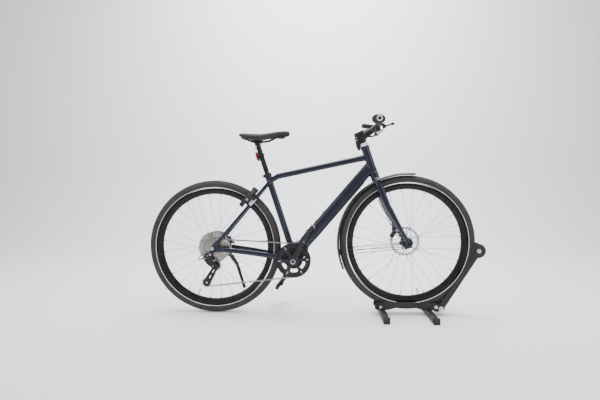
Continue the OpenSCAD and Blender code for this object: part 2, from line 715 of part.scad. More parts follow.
module seat_collar() color("#17181a") place() {
    difference() {
        union() {
            along(p3(seat_at(seat_tube_len - 18)), p3(seat_at(seat_tube_len - 2)))
                cylinder(h = 16, d = seat_tube_d + 7);
            translate(p3(seat_at(seat_tube_len - 10) + [-22, -6])) cube([16, 16, 13], center = true);
        }
        seat_core(0.2);
    }
    translate(p3(seat_at(seat_tube_len - 10) + [-26, -6], -11)) rotate([-90, 0, 0]) cylinder(h = 22, r = 2.5);
}
module rear_axle() color("#8d9094") place() {
    disc(hub_r, axle_d / 2, -rear_width / 2 - 4, rear_width / 2 + 4);
    for (side = [-1, 1]) disc(hub_r, 9, side < 0 ? -rear_width / 2 - 4 : rear_width / 2 - 2,
        side < 0 ? -rear_width / 2 + 2 : rear_width / 2 + 4);
}
module rear_caliper() color("#18191b") place() difference() {
    caliper(hub_r, 24, hub_r + [92, 8]);
    disc(hub_r, wheel_r - 12, 0, 22);
}

// Derailleur: hanger knuckle, parallelogram body and two cage plates either side of the pulleys
module derailleur() color("#1b1c1f") place() {
    disc(hub_r + [-8, -30], 10, -rear_width / 2 - 12, -rear_width / 2 + 1);
    slab(-rear_width / 2 - 12, -rear_width / 2 - 1) bar2(hub_r + [-8, -30], hub_r + [-34, -42], 22);
    slab(-rear_width / 2 - 12, -rear_width / 2 + 6) bar2(hub_r + [-34, -42], guide_c + [8, -6], 22);
    disc(guide_c, 12, -rear_width / 2 - 4, -chain_line - 6.5);
    for (side = [-1, 1]) slab(-chain_line + side * 6 - 1, -chain_line + side * 6 + 1)
        bar2(guide_c, tension_c, 26);
    for (c = [guide_c, tension_c]) disc(c, 4, -chain_line - 7, -chain_line + 7);
}
module pulley(c) slab(-chain_line - 0.9, -chain_line + 0.9) translate(c) difference() {
    union() {
        circle(r = pulley_r - stub - 1);
        for (k = [0 : pulley_teeth - 1]) rotate(k * 360 / pulley_teeth) translate([pulley_r - stub - 1.5, 0])
            square([3, 3], center = true);
    }
    circle(r = 4 + run);
}
module guide_pulley() color("#0e0f10") place() pulley(guide_c);
module tension_pulley() color("#0e0f10") place() pulley(tension_c);

// Chain path: wheels in travel order as [centre, pitch radius, turn], turn +1 clockwise seen from the right
path = [
    [hub_r, cog_r, 1], [[bb_x, bb_z], ring_r, 1], [tension_c, pulley_r, 1], [guide_c, pulley_r, -1]
];
function step_angle(i) = let (
        a = path[i], b = path[(i + 1) % 4], v = b[0] - a[0]
    ) atan2(v[1], v[0]) - asin((a[2] * a[1] - b[2] * b[1]) / norm(v));
function touch(i, angle) = path[i][0] + path[i][2] * path[i][1] * [-sin(angle), cos(angle)];
leave = [for (i = [0 : 3]) step_angle(i)];
function arrive(i) = leave[(i + 3) % 4];
function wrap(i) = let (turn = (arrive(i) - leave[i]) * path[i][2]) turn - 360 * floor(turn / 360);
arc_len = [for (i = [0 : 3]) wrap(i) * PI / 180 * path[i][1]];
run_len = [for (i = [0 : 3]) norm(touch((i + 1) % 4, leave[i]) - touch(i, leave[i]))];
function upto(i) = i == 0 ? 0 : upto(i - 1) + arc_len[i - 1] + run_len[i - 1];
chain_len = upto(4);
links = 2 * round(chain_len / pitch / 2);
function point(s, i = 0) = let (t = s - upto(i))
    i < 3 && t >= arc_len[i] + run_len[i] ? point(s, i + 1)
    : t < arc_len[i] ? touch(i, arrive(i) - path[i][2] * t / path[i][1] * 180 / PI)
    : touch(i, leave[i]) + (t - arc_len[i]) * dir2(leave[i]);
function link_at(k) = point((k % links) * chain_len / links);
module chain() color("#a9abae") place() for (k = [0 : 2 : links - 1]) {
    a = link_at(k);
    b = link_at(k + 1);
    c = link_at(k + 2);
    for (y = [-1, 1]) {
        slab(-chain_line + y * 1.6 - 0.35, -chain_line + y * 1.6 + 0.35) bar2(a, b, 8, 0.7);
        slab(-chain_line + y * 2.4 - 0.35, -chain_line + y * 2.4 + 0.35) bar2(b, c, 8, 0.7);
    }
    for (p = [a, b]) disc(p, roller_r, -chain_line - 1.3, -chain_line + 1.3);
}

// Ring lock: a horseshoe round the tyre behind the seat stays, open towards the hub, on a bracket between them
lock_angle = 54.5;
lock_r = 50;
lock_c = hub_r + (wheel_r - 34) * dir2(lock_angle);
module lock_frame() translate(p3(lock_c)) rotate([0, -lock_angle, 0]) children();
module ring_lock() color("#141517") place() difference() {
    lock_frame() {
        rotate([0, 0, -118]) rotate_extrude(angle = 236, $fn = 72) translate([lock_r, 0]) round_rect(18, 26, 6);
        translate([lock_r + 3, 0, 0]) cube([20, 46, 34], center = true);
        translate([-6, -lock_r - 1, 0]) cube([44, 20, 32], center = true);
        translate([16, 0, -20]) difference() {
            cube([18, 2 * lock_r + 8, 30], center = true);
            cube([60, 66, 60], center = true);
        }
    }
    lock_frame() translate([-6, -lock_r - 12, 0]) rotate([-90, 0, 0]) cylinder(h = 14, r = 6.5 + run);
    stay_pair(0.2);
}
module lock_cylinder() color("#c9cbce") place() lock_frame()
    translate([-6, -lock_r - 15, 0]) rotate([-90, 0, 0]) cylinder(h = 16.5, r = 6.5);

// Kickstand leg, shown down: a pivot boss beside its plate and a round leg with a foot
kick_knee = kick_c + [40, -62];
kick_foot = kick_c + [78, -205];
module kickstand() color("#131416") place() {
    y = rear_width / 2 + 1;
    disc(kick_c, 5, drop_in + 1, y);
    disc(kick_c, 14, y + gap, y + 18);
    disc(kick_c, 5, y - 1, y + 2);
    rod(p3(kick_c, y + 11), p3(kick_knee, y + 22), 8);
    rod(p3(kick_knee, y + 22), p3(kick_foot, y + 46), 7.5);
    disc(kick_knee, 9, y + 14, y + 30);
    rod(p3(kick_foot, y + 46) + 34 * unit(p3(kick_knee, y + 22) - p3(kick_foot, y + 46)), p3(kick_foot, y + 46), 10);
}

// ---- Drive ----
module crank_arm(side) {
    y0 = side < 0 ? -crank_span / 2 : crank_span / 2 - arm_t;
    difference() {
        slab(y0, y0 + arm_t) {
            translate([bb_x, bb_z]) circle(d = 36);
            bar2([bb_x, bb_z], crank_end(side), 26);
        }
        disc(crank_end(side), 7, y0 - 1, y0 + arm_t + 1);
    }
}
module crank_arms() color("#141517") place() {
    disc([bb_x, bb_z], 12, -crank_span / 2 + 1, crank_span / 2 - 1);
    for (side = [-1, 1]) crank_arm(side);
}
module chainring() color("#151618") place() difference() {
    union() {
        slab(-chain_line - 0.9, -chain_line + 0.9) translate([bb_x, bb_z]) difference() {
            union() {
                circle(r = ring_r - stub - 1, $fn = 96);
                for (k = [0 : ring_teeth - 1]) rotate((k + 0.5) * 360 / ring_teeth)
                    translate([ring_r - stub - 1.5, 0]) square([3, 4], center = true);
            }
            circle(r = ring_r - 20, $fn = 96);
        }
        slab(-chain_line - 7.5, -chain_line - 5) translate([bb_x, bb_z]) difference() {
            circle(r = ring_r + 4, $fn = 96);
            circle(r = ring_r - 14, $fn = 96);
        }
        slab(-chain_line - 8, -chain_line + 1) translate([bb_x, bb_z]) {
            for (k = [0 : 5]) rotate(k * 60 + 4) translate([14, -7]) square([ring_r - 26, 14]);
            circle(r = 24);
        }
    }
    disc([bb_x, bb_z], 12, -100, 0);
}
// Platform pedals: a cage of two side rails and three cross pieces on a tube with an axle stub
module pedal(side) {
    c = crank_end(side);
    lean = crank_angle - 12;
    y0 = side * (crank_span / 2 + gap);
    disc(c, 7 - run, min(side * (crank_span / 2 - arm_t), y0), max(side * (crank_span / 2 - arm_t), y0));
    disc(c, 8, min(y0, side * (pedal_y + 42)), max(y0, side * (pedal_y + 42)));
    translate(p3(c, side * pedal_y)) rotate([0, -lean, 0]) for (x = [-44, 44]) {
        translate([x, 0, 0]) cube([8, 88, 20], center = true);
    }
    translate(p3(c, side * pedal_y)) rotate([0, -lean, 0]) for (y = [-36, 0, 36]) {
        translate([0, y, 0]) cube([84, 9, 18], center = true);
    }
}
module pedal_right() color("#17181a") place() pedal(-1);
module pedal_left() color("#17181a") place() pedal(1);

cogs = [42, 37, 32, 28, 24, 21, 18, 15, 13, 11];
module cassette() color("#b5a9a4") place() difference() {
    union() {
        for (k = [0 : 9]) {
            y = -chain_line + (4 - k) * cog_step;
            r = pitch_r(cogs[k] * big_cog_teeth / 42) - stub - 0.4;
            slab(y - 0.8, y + 0.8) translate(hub_r) {
                circle(r = k == 4 ? cog_r - stub - 1 : r, $fn = 96);
            }
        }
        disc(hub_r, 17, -drop_in + gap, -rear_flange - 1.8 - gap);
    }
    disc(hub_r, axle_d / 2 + run, -100, 0);
}

// ---- Seat ----
post_top = seat_at((saddle_z - 66 - bb_z) / sin(seat_angle));
module rail_rods() for (side = [-1, 1]) {
    y = side * rail_gap / 2;
    rod([post_top[0] - 34, y, rail_z], [post_top[0] + 52, y, rail_z], 3.5);
    rod([post_top[0] + 50, y, rail_z], [post_top[0] + 120, side * 12, saddle_z - 24], 3.5);
    rod([post_top[0] - 32, y, rail_z], [post_top[0] - 70, side * 34, saddle_z - 26], 3.5);
}
module seat_post() color("#17181a") place() difference() {
    union() {
        rod(p3(seat_at(seat_tube_len - post_in)), p3(post_top), post_d / 2);
        disc(post_top + [0, 4], 13, -rail_gap / 2 - 9, rail_gap / 2 + 9);
        for (side = [-1, 1]) translate(p3(post_top + [0, 17], side * rail_gap / 2)) cube([34, 13, 9], center = true);
    }
    rail_rods();
}
module saddle_rails() color("#26272a") place() rail_rods();
rail_z = post_top[1] + 17;
saddle_back = post_top[0] - 98;
module saddle() color("#141416") place() difference() {
    hull() {
        translate([saddle_back + saddle_len - 12, 0, saddle_z - 13]) sphere(r = 12, $fn = 32);
        translate([saddle_back + saddle_len - 60, 0, saddle_z - 14]) sphere(r = 19, $fn = 32);
        for (side = [-1, 1]) {
            translate([saddle_back + 17, side * (saddle_w / 2 - 38), saddle_z - 26]) sphere(r = 17, $fn = 32);
            translate([saddle_back + 58, side * (saddle_w / 2 - 16), saddle_z - 26]) sphere(r = 16, $fn = 32);
        }
    }
    translate([saddle_back - 20, -saddle_w, saddle_z - 78]) cube([saddle_len + 60, 2 * saddle_w, 46]);
}
// Rear light strapped to the seat post
light_c = seat_at(seat_tube_len + 100);
module rear_light() color("#c8131a") place() difference() {
    along(p3(light_c), p3(seat_at(seat_tube_len + 150))) union() {
        translate([22, 0, -22]) linear_extrude(height = 44) round_rect(16, 26, 5);
        translate([0, 0, -6]) cylinder(h = 12, r = post_d / 2 + 4);
    }
    rod(p3(seat_at(seat_tube_len)), p3(post_top), post_d / 2);
}

stand_plate_right();
stand_plate_left();
stand_feet();
stand_cradle();
stand_bolts();
stand_arm();
roller_bolt();
stand_roller();
fork();
stem();
handlebar();
grips();
control_clamps();
hoses();
front_mudguard();
front_caliper();
brake_lever_right();
brake_lever_left();
shift_paddle_up();
shift_paddle_down();
control_button();
front_tyre();
front_rim();
front_spokes();
front_hub();
front_disc();
front_axle();
head_tube();
headset_bearings();
top_tube();
down_tube();
battery();
seat_tube();
motor();
chain_stays();
seat_stays();
seat_collar();
rear_axle();
rear_caliper();
derailleur();
chain();
ring_lock();
lock_cylinder();
kickstand();
crank_arms();
chainring();
pedal_right();
pedal_left();
cassette();
guide_pulley();
tension_pulley();
rear_tyre();
rear_rim();
rear_spokes();
rear_hub();
rear_disc();
seat_post();
saddle_rails();
saddle();
rear_light();
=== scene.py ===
# A city bicycle with a pedal-assist motor, parked with its front wheel in a roll-in wheel holder.
# Lengths in the sections are millimetres along the bicycle: X forward from the rear axle, Y left, Z up.
import math

import bmesh
import bpy
from mathutils import Matrix, Vector


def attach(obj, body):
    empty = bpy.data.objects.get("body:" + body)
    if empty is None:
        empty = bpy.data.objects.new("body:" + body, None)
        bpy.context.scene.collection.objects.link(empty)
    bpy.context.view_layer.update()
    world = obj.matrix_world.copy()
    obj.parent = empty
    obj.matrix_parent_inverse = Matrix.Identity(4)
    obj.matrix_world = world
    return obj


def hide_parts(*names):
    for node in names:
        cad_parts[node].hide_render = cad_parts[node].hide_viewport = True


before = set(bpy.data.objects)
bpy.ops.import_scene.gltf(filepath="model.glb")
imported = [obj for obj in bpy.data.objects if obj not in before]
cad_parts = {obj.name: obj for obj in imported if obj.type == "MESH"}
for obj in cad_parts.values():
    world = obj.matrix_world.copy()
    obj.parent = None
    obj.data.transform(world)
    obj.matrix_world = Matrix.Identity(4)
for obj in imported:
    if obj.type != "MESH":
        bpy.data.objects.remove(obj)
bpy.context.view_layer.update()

# ---- Studio ----
# A long sweep of pale grey floor with a white wall behind it, lit by wide soft boxes above and at
# both sides. None of it belongs to the bicycle.
camera = bpy.data.objects.new("camera", bpy.data.cameras.new("camera"))
camera.data.lens = 24.68
camera.data.sensor_width = 36
camera.data.clip_end = 60
camera.location = (0.01221, -2.2041, 0.72212)
camera.rotation_euler = (math.radians(87.13), 0, math.radians(2.38))
bpy.context.collection.objects.link(camera)
bpy.context.scene.camera = camera

sweep = bmesh.new()
bmesh.ops.create_grid(sweep, x_segments=1, y_segments=1, size=9)
far_edge = [e for e in sweep.edges if all(v.co.y > 8.9 for v in e.verts)]
bmesh.ops.translate(sweep, verts=list({v for e in far_edge for v in e.verts}), vec=(0, -6.3, 0))
wall_edge = bmesh.ops.extrude_edge_only(sweep, edges=far_edge)
bmesh.ops.translate(sweep, verts=[v for v in wall_edge["geom"] if isinstance(v, bmesh.types.BMVert)],
                    vec=(0, 0, 7))
bend = [e for e in sweep.edges if all(abs(v.co.z) < 0.01 and v.co.y > 2.6 for v in e.verts)]
bmesh.ops.bevel(sweep, geom=bend, offset=0.9, segments=12, profile=0.5, affect="EDGES", material=-1)
sweep_mesh = bpy.data.meshes.new("studio_sweep")
sweep.to_mesh(sweep_mesh)
sweep.free()
for face in sweep_mesh.polygons:
    face.use_smooth = True
studio_sweep = bpy.data.objects.new("studio_sweep", sweep_mesh)
bpy.context.collection.objects.link(studio_sweep)
paper = bpy.data.materials.new("studio_paint")
paper.use_nodes = True
paper_shader = paper.node_tree.nodes["Principled BSDF"]
paper_shader.inputs["Base Color"].default_value = (0.78, 0.79, 0.81, 1)
paper_shader.inputs["Roughness"].default_value = 0.55
sweep_mesh.materials.append(paper)

world = bpy.data.worlds.new("studio_air")
bpy.context.scene.world = world
world.use_nodes = True
world.node_tree.nodes["Background"].inputs["Color"].default_value = (0.93, 0.95, 1.0, 1)
world.node_tree.nodes["Background"].inputs["Strength"].default_value = 0.72
for name, place, aim, size, power in (
    ("soft_box_above", (0.2, -0.6, 3.4), (0.0, 0.0, 0.4), 3.2, 120),
    ("soft_box_left", (-3.0, -2.4, 1.9), (0.0, 0.0, 0.5), 2.2, 55),
    ("soft_box_right", (3.0, -2.2, 1.7), (0.2, 0.0, 0.5), 2.0, 38),
    ("soft_box_wall", (0.0, 0.9, 3.4), (0.0, 3.0, 1.3), 3.0, 230),
):
    lamp = bpy.data.lights.new(name, "AREA")
    lamp.shape = "SQUARE"
    lamp.size = size
    lamp.energy = power
    lamp_object = bpy.data.objects.new(name, lamp)
    lamp_object.location = place
    lamp_object.rotation_euler = (Vector(aim) - Vector(place)).to_track_quat("-Z", "Y").to_euler()
    bpy.context.collection.objects.link(lamp_object)

# ---- Tyres ----
# City tyres, 47 mm wide on 622 mm rims: dark rubber with small moulded tread blocks, a smooth
# side wall, a raised bead line and a white reflecting stripe on both sides.
REAR_HUB = Vector((0, 0, 358))
FRONT_HUB = Vector((1029.6, 0, 385.4))
TO_ROW = Matrix.Translation((-0.5395822, 0, 0)) @ Matrix.Scale(0.001, 4)
TYRE_MID = 334.5
TYRE_ROUND = 23.5


def noise_group(name, inputs, outputs):
    """An empty shader group with the named inputs and outputs."""
    group = bpy.data.node_groups.new(name, "ShaderNodeTree")
    for label, kind, value in inputs:
        socket = group.interface.new_socket(label, in_out="INPUT", socket_type="NodeSocket" + kind)
        if value is not None:
            socket.default_value = value
    for label, kind in outputs:
        group.interface.new_socket(label, in_out="OUTPUT", socket_type="NodeSocket" + kind)
    return group, group.nodes.new("NodeGroupInput"), group.nodes.new("NodeGroupOutput")


# Handling marks: a slow drift between two colours and two roughnesses, with finer smudges on top
handling, h_in, h_out = noise_group("handling_marks",
                                    [("Vector", "Vector", None), ("Spread", "Float", 14.0),
                                     ("Colour", "Color", None), ("Worn Colour", "Color", None),
                                     ("Gloss", "Float", 0.3), ("Dull", "Float", 0.5)],
                                    [("Colour", "Color"), ("Roughness", "Float")])
broad = handling.nodes.new("ShaderNodeTexNoise")
broad.inputs["Detail"].default_value = 5
broad.inputs["Roughness"].default_value = 0.62
handling.links.new(h_in.outputs["Vector"], broad.inputs["Vector"])
handling.links.new(h_in.outputs["Spread"], broad.inputs["Scale"])
spread_out = handling.nodes.new("ShaderNodeMapRange")
spread_out.inputs["From Min"].default_value = 0.36
spread_out.inputs["From Max"].default_value = 0.66
handling.links.new(broad.outputs["Fac"], spread_out.inputs["Value"])
blend_colour = handling.nodes.new("ShaderNodeMix")
blend_colour.data_type = "RGBA"
handling.links.new(spread_out.outputs["Result"], blend_colour.inputs["Factor"])
handling.links.new(h_in.outputs["Colour"], blend_colour.inputs[6])
handling.links.new(h_in.outputs["Worn Colour"], blend_colour.inputs[7])
handling.links.new(blend_colour.outputs[2], h_out.inputs["Colour"])
blend_rough = handling.nodes.new("ShaderNodeMapRange")
handling.links.new(spread_out.outputs["Result"], blend_rough.inputs["Value"])
handling.links.new(h_in.outputs["Gloss"], blend_rough.inputs["To Min"])
handling.links.new(h_in.outputs["Dull"], blend_rough.inputs["To Max"])
handling.links.new(blend_rough.outputs["Result"], h_out.inputs["Roughness"])

# Moulded grain: fine cells mixed with fine noise, as a height
grain, g_in, g_out = noise_group(
    "moulded_grain", [("Vector", "Vector", None), ("Fineness", "Float", 900.0), ("Cells", "Float", 0.5)],
    [("Height", "Float")])
speck = grain.nodes.new("ShaderNodeTexNoise")
speck.inputs["Detail"].default_value = 3
cell = grain.nodes.new("ShaderNodeTexVoronoi")
for texture in (speck, cell):
    grain.links.new(g_in.outputs["Vector"], texture.inputs["Vector"])
    grain.links.new(g_in.outputs["Fineness"], texture.inputs["Scale"])
mix_height = grain.nodes.new("ShaderNodeMix")
grain.links.new(g_in.outputs["Cells"], mix_height.inputs["Factor"])
grain.links.new(speck.outputs["Fac"], mix_height.inputs[2])
grain.links.new(cell.outputs["Distance"], mix_height.inputs[3])
grain.links.new(mix_height.outputs[0], g_out.inputs["Height"])


def finish(name, colour, worn, gloss, dull, metallic=0.0, spread=14.0, fine=900.0, cells=0.5, depth=0.15,
           stretch=(1, 1, 1), coat=0.0, sheen=0.0, specular=0.3):
    """A surface whose colour and gloss drift with handling and whose grain is moulded or brushed in."""
    material = bpy.data.materials.new(name)
    material.use_nodes = True
    tree = material.node_tree
    shader = tree.nodes["Principled BSDF"]
    shader.inputs["Metallic"].default_value = metallic
    shader.inputs["Coat Weight"].default_value = coat
    shader.inputs["Coat Roughness"].default_value = 0.12
    shader.inputs["Sheen Weight"].default_value = sheen
    shader.inputs["Specular IOR Level"].default_value = specular
    place = tree.nodes.new("ShaderNodeTexCoord")
    turn = tree.nodes.new("ShaderNodeMapping")
    turn.inputs["Scale"].default_value = stretch
    tree.links.new(place.outputs["Object"], turn.inputs["Vector"])
    marks = tree.nodes.new("ShaderNodeGroup")
    marks.node_tree = handling
    for label, value in (("Spread", spread), ("Gloss", gloss), ("Dull", dull), ("Colour", (*colour, 1)),
                         ("Worn Colour", (*worn, 1))):
        marks.inputs[label].default_value = value
    tree.links.new(place.outputs["Object"], marks.inputs["Vector"])
    tree.links.new(marks.outputs["Colour"], shader.inputs["Base Color"])
    tree.links.new(marks.outputs["Roughness"], shader.inputs["Roughness"])
    pores = tree.nodes.new("ShaderNodeGroup")
    pores.node_tree = grain
    pores.inputs["Fineness"].default_value = fine
    pores.inputs["Cells"].default_value = cells
    tree.links.new(turn.outputs["Vector"], pores.inputs["Vector"])
    bump = tree.nodes.new("ShaderNodeBump")
    bump.inputs["Strength"].default_value = depth
    bump.inputs["Distance"].default_value = 0.0006
    tree.links.new(pores.outputs["Height"], bump.inputs["Height"])
    tree.links.new(bump.outputs["Normal"], shader.inputs["Normal"])
    return material


def piece(name, bm, material, body, replaces=(), crease=32, bevel=0.0):
    """Turns a bmesh in millimetres into a finished piece that rides on a body."""
    bmesh.ops.transform(bm, matrix=TO_ROW, verts=bm.verts)
    mesh = bpy.data.meshes.new(name)
    bm.to_mesh(mesh)
    bm.free()
    for face in mesh.polygons:
        face.use_smooth = True
    mesh.set_sharp_from_angle(angle=math.radians(crease))
    mesh.materials.append(material)
    made = bpy.data.objects.new(name, mesh)
    bpy.context.collection.objects.link(made)
    if bevel:
        edges = made.modifiers.new("edges", "BEVEL")
        edges.width = bevel / 1000
        edges.segments = 2
        edges.angle_limit = math.radians(40)
        edges.harden_normals = True
    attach(made, body)
    if replaces:
        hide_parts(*replaces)
    return made


def turned(bm, profile, origin, axis=(0, 1, 0), steps=64, loop=False):
    """A turned part: a profile of (radius, height) points spun about an axis through origin."""
    points = [bm.verts.new((radius, 0, height)) for radius, height in profile]
    pairs = list(zip(points, points[1:])) + ([(points[-1], points[0])] if loop else [])
    edges = [bm.edges.new(pair) for pair in pairs]
    bmesh.ops.spin(bm, geom=points + edges, axis=(0, 0, 1), cent=(0, 0, 0), angle=math.tau,
                   steps=steps, use_merge=True, use_duplicate=False)
    verts = set(points)
    reach = list(points)
    while reach:
        for edge in reach.pop().link_edges:
            for vert in edge.verts:
                if vert not in verts:
                    verts.add(vert)
                    reach.append(vert)
    bmesh.ops.remove_doubles(bm, verts=list(verts), dist=0.0005)
    verts = [v for v in verts if v.is_valid]
    faces = list({f for v in verts for f in v.link_faces})
    bmesh.ops.recalc_face_normals(bm, faces=faces)
    turn = Vector((0, 0, 1)).rotation_difference(Vector(axis)).to_matrix().to_4x4()
    bmesh.ops.transform(bm, matrix=Matrix.Translation(Vector(origin)) @ turn, verts=verts)
    return verts


rubber = finish("tyre_rubber_dark", (0.022, 0.021, 0.021), (0.038, 0.036, 0.034), 0.62, 0.85, spread=26,
                fine=1400, cells=0.3, depth=0.25)
tread_rubber = finish("tread_rubber", (0.030, 0.028, 0.027), (0.052, 0.048, 0.044), 0.75, 0.95, spread=34,
                      fine=700, cells=0.4, depth=0.5)
stripe_tape = finish("reflecting_stripe", (0.62, 0.63, 0.63), (0.78, 0.79, 0.79), 0.3, 0.45, spread=60,
                     fine=2200, cells=0.9, depth=0.3, coat=0.3)
for hub, side_name, body in ((REAR_HUB, "rear", "rear_wheel"), (FRONT_HUB, "front", "front_wheel")):
    bm = bmesh.new()
    outer = []
    for step in range(29):
        angle = math.radians(-126 + step * 252 / 28)
        round_here = TYRE_ROUND - 0.25
        if abs(math.degrees(angle)) < 46:
            round_here -= 0.75
        outer.append((TYRE_MID + round_here * math.cos(angle), round_here * math.sin(angle)))
    inner = [(TYRE_MID + (r - TYRE_MID) * 0.86, y * 0.86) for r, y in reversed(outer)]
    turned(bm, outer + inner, hub, steps=168, loop=True)
    blocks = []
    for face in bm.faces:
        middle = face.calc_center_median() - hub
        radius = math.hypot(middle.x, middle.z)
        if radius > TYRE_MID + 12 and 0.5 < abs(middle.y) < 17 and math.hypot(radius - TYRE_MID,
                middle.y) > 21:
            turn_index = int((math.atan2(middle.z, middle.x) % math.tau) / math.tau * 168)
            if abs(middle.y) < 12 or turn_index % 2 == 0:
                blocks.append(face)
    bmesh.ops.inset_individual(bm, faces=blocks, thickness=0.55, depth=0.0)
    bmesh.ops.inset_individual(bm, faces=blocks, thickness=0.15, depth=0.95)
    for face in bm.faces:
        middle = face.calc_center_median() - hub
        if math.hypot(middle.x, middle.z) > TYRE_MID + 15.5:
            face.material_index = 1
    tyre = piece(f"{side_name}_tyre_carcass", bm, rubber, body, [f"{side_name}_tyre"],
                 crease=25)
    tyre.data.materials.append(tread_rubber)

    bm = bmesh.new()
    for side in (-1, 1):
        lean = math.radians(123)
        band = []
        for step in range(4):
            angle = lean - math.radians(6 * step / 3 - 3)
            band.append((TYRE_MID + (TYRE_ROUND + 0.1) * math.cos(angle),
                         side * (TYRE_ROUND + 0.1) * math.sin(angle)))
        back = [(r, y - side * 0.9) for r, y in reversed(band)]
        turned(bm, band + back, hub, steps=144, loop=True)
    piece(f"{side_name}_tyre_stripe", bm, stripe_tape, body, crease=40)

# ---- Rims, spokes and valves ----
# Deep black anodised double-wall rims, polished steel spokes crossing to the hub flanges, and a
# brass valve with a knurled ring and a black dust cap.
rim_black = finish("rim_anodised", (0.005, 0.005, 0.006), (0.009, 0.009, 0.010), 0.24, 0.38, spread=30,
                   fine=1800, cells=0.2, depth=0.12, specular=0.22)
spoke_steel = finish("spoke_polished", (0.13, 0.13, 0.135), (0.20, 0.20, 0.205), 0.2, 0.34, metallic=1.0,
                     spread=70, fine=1600, cells=0.1, depth=0.1)
valve_brass = finish("valve_nickel", (0.50, 0.48, 0.42), (0.62, 0.60, 0.54), 0.22, 0.38, metallic=1.0,
                     spread=200, fine=2400, cells=0.2, depth=0.1)
cap_plastic = finish("dust_cap", (0.012, 0.012, 0.013), (0.02, 0.02, 0.021), 0.4, 0.6, spread=150,
                     fine=2400, depth=0.2)


def paint(node, *materials):
    """A CAD node keeps its shape and gets its finish."""
    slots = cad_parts[node].material_slots
    for index, material in enumerate(materials):
        slots[index].material = material
    for index in range(len(materials), len(slots)):
        slots[index].material = materials[0]


for hub, side_name, body, valve_at in ((REAR_HUB, "rear", "rear_wheel", 250),
                                       (FRONT_HUB, "front", "front_wheel", 283)):
    paint(f"{side_name}_spokes", spoke_steel)
    bm = bmesh.new()
    # box-section rim drawn from the bead edge round the deep nose, with soft corners and a bead well
    rim_profile = [(317, -13), (306, -13), (303.5, -12.6), (291, -7.4), (287, -5.4), (285.4, -3.4), (285, 0),
                   (285.4, 3.4), (287, 5.4), (291, 7.4), (303.5, 12.6), (306, 13), (317, 13), (317.4, 12.2),
                   (317, 10.6), (311.5, 10.4), (310.6, 9), (307.5, 5.5), (307.5, -5.5), (310.6, -9),
                   (311.5, -10.4), (317, -10.6), (317.4, -12.2)]
    turned(bm, rim_profile, hub, steps=144, loop=True)
    piece(f"{side_name}_rim_hoop", bm, rim_black, body, [f"{side_name}_rim"], crease=35)
    out = Vector((math.cos(math.radians(valve_at)), 0, math.sin(math.radians(valve_at))))
    bm = bmesh.new()
    turned(bm, [(0, 0), (3, 0), (3, 24), (0, 24)], hub + out * 262, out, 16)
    turned(bm, [(0, -1), (4.6, -1), (5, 0), (5, 2.4), (4.6, 3), (0, 3)], hub + out * 281.4, out, 20)
    piece(f"{side_name}_valve_stem", bm, valve_brass, body)
    bm = bmesh.new()
    turned(bm, [(0, 0), (2.6, 0), (3.6, 1.2), (3.9, 3), (3.9, 10), (0, 10)], hub + out * 253, out, 18)
    piece(f"{side_name}_valve_cap", bm, cap_plastic, body)

# ---- Hubs, brake discs and axles ----
# Black forged hubs with a waisted barrel between two drilled flanges, a steel brake disc held by a
# splined lock ring on the left, and a through axle with a lever-free head.
hub_black = finish("hub_anodised", (0.013, 0.013, 0.014), (0.022, 0.022, 0.024), 0.22, 0.4, metallic=0.4,
                   spread=90, fine=1500, cells=0.2, depth=0.1)
disc_steel = finish("disc_ground_steel", (0.44, 0.45, 0.46), (0.60, 0.61, 0.62), 0.24, 0.4, metallic=1.0,
                    spread=60, fine=900, cells=0.1, depth=0.35, stretch=(1, 1, 6))
bolt_steel = finish("bolt_steel_satin", (0.50, 0.51, 0.52), (0.64, 0.65, 0.66), 0.25, 0.42, metallic=1.0,
                    spread=120, fine=1400, cells=0.2, depth=0.12)
for hub, side_name, body, flange, barrel, ends in ((REAR_HUB, "rear", "rear_wheel", 24, 19, (-25.6, 67.4)),
        (FRONT_HUB, "front", "front_wheel", 27, 17, (-51.4, 51.4))):
    bm = bmesh.new()
    waist = barrel - 2.5
    left = [(29, flange - 1.8), (28.4, flange + 1.4), (26, flange + 1.8), (barrel + 1, flange + 3),
            (barrel, flange + 8), (barrel + 0.5, 37), (23, 39), (23, 46), (barrel - 0.2, 46.2),
            (barrel - 0.2, min(60, ends[1])), (11, ends[1]), (6.05, ends[1])]
    right = [(6.05, ends[0]), (11, ends[0]), (barrel - 1, ends[0] + 0.2 if flange == 24 else ends[0] + 14),
             (26, -flange - 1.7), (28.4, -flange - 1.4), (29, -flange + 1.8), (25, -flange + 3),
             (waist + 1, -flange + 10), (waist, -flange + 16), (waist, flange - 16), (waist + 1, flange - 10),
             (25, flange - 3)]
    turned(bm, right + left, hub, steps=72, loop=True)
    piece(f"{side_name}_hub_shell", bm, hub_black, body, [f"{side_name}_hub"], crease=35)
    paint(f"{side_name}_disc", disc_steel)
    bm = bmesh.new()
    turned(bm, [(barrel + 0.6, 47.9), (21.6, 47.9), (22.4, 48.6), (22.4, 50.6), (21.6, 51.4),
                (barrel + 0.6, 51.4)], hub, steps=48, loop=True)
    bmesh.ops.inset_individual(bm, faces=[f for f in bm.faces if abs(f.normal.y) < 0.3
                                          and (f.calc_center_median() - hub).length > 22], thickness=0.3,
                               depth=-0.5)
    piece(f"{side_name}_disc_lock_ring", bm, hub_black, body, crease=30)
paint("front_axle", hub_black)
paint("rear_axle", bolt_steel)
bm = bmesh.new()
for side in (-1, 1):
    head = FRONT_HUB + Vector((0, side * 69, 0))
    turned(bm, [(3.4, -0.4), (8.2, -0.4), (9.4, 0.2), (9.4, 0.5), (8.6, 1.3), (4, 1.6), (3.4, 1.2)], head,
           (0, side, 0), 40, loop=True)
piece("front_axle_heads", bm, hub_black, "fork")

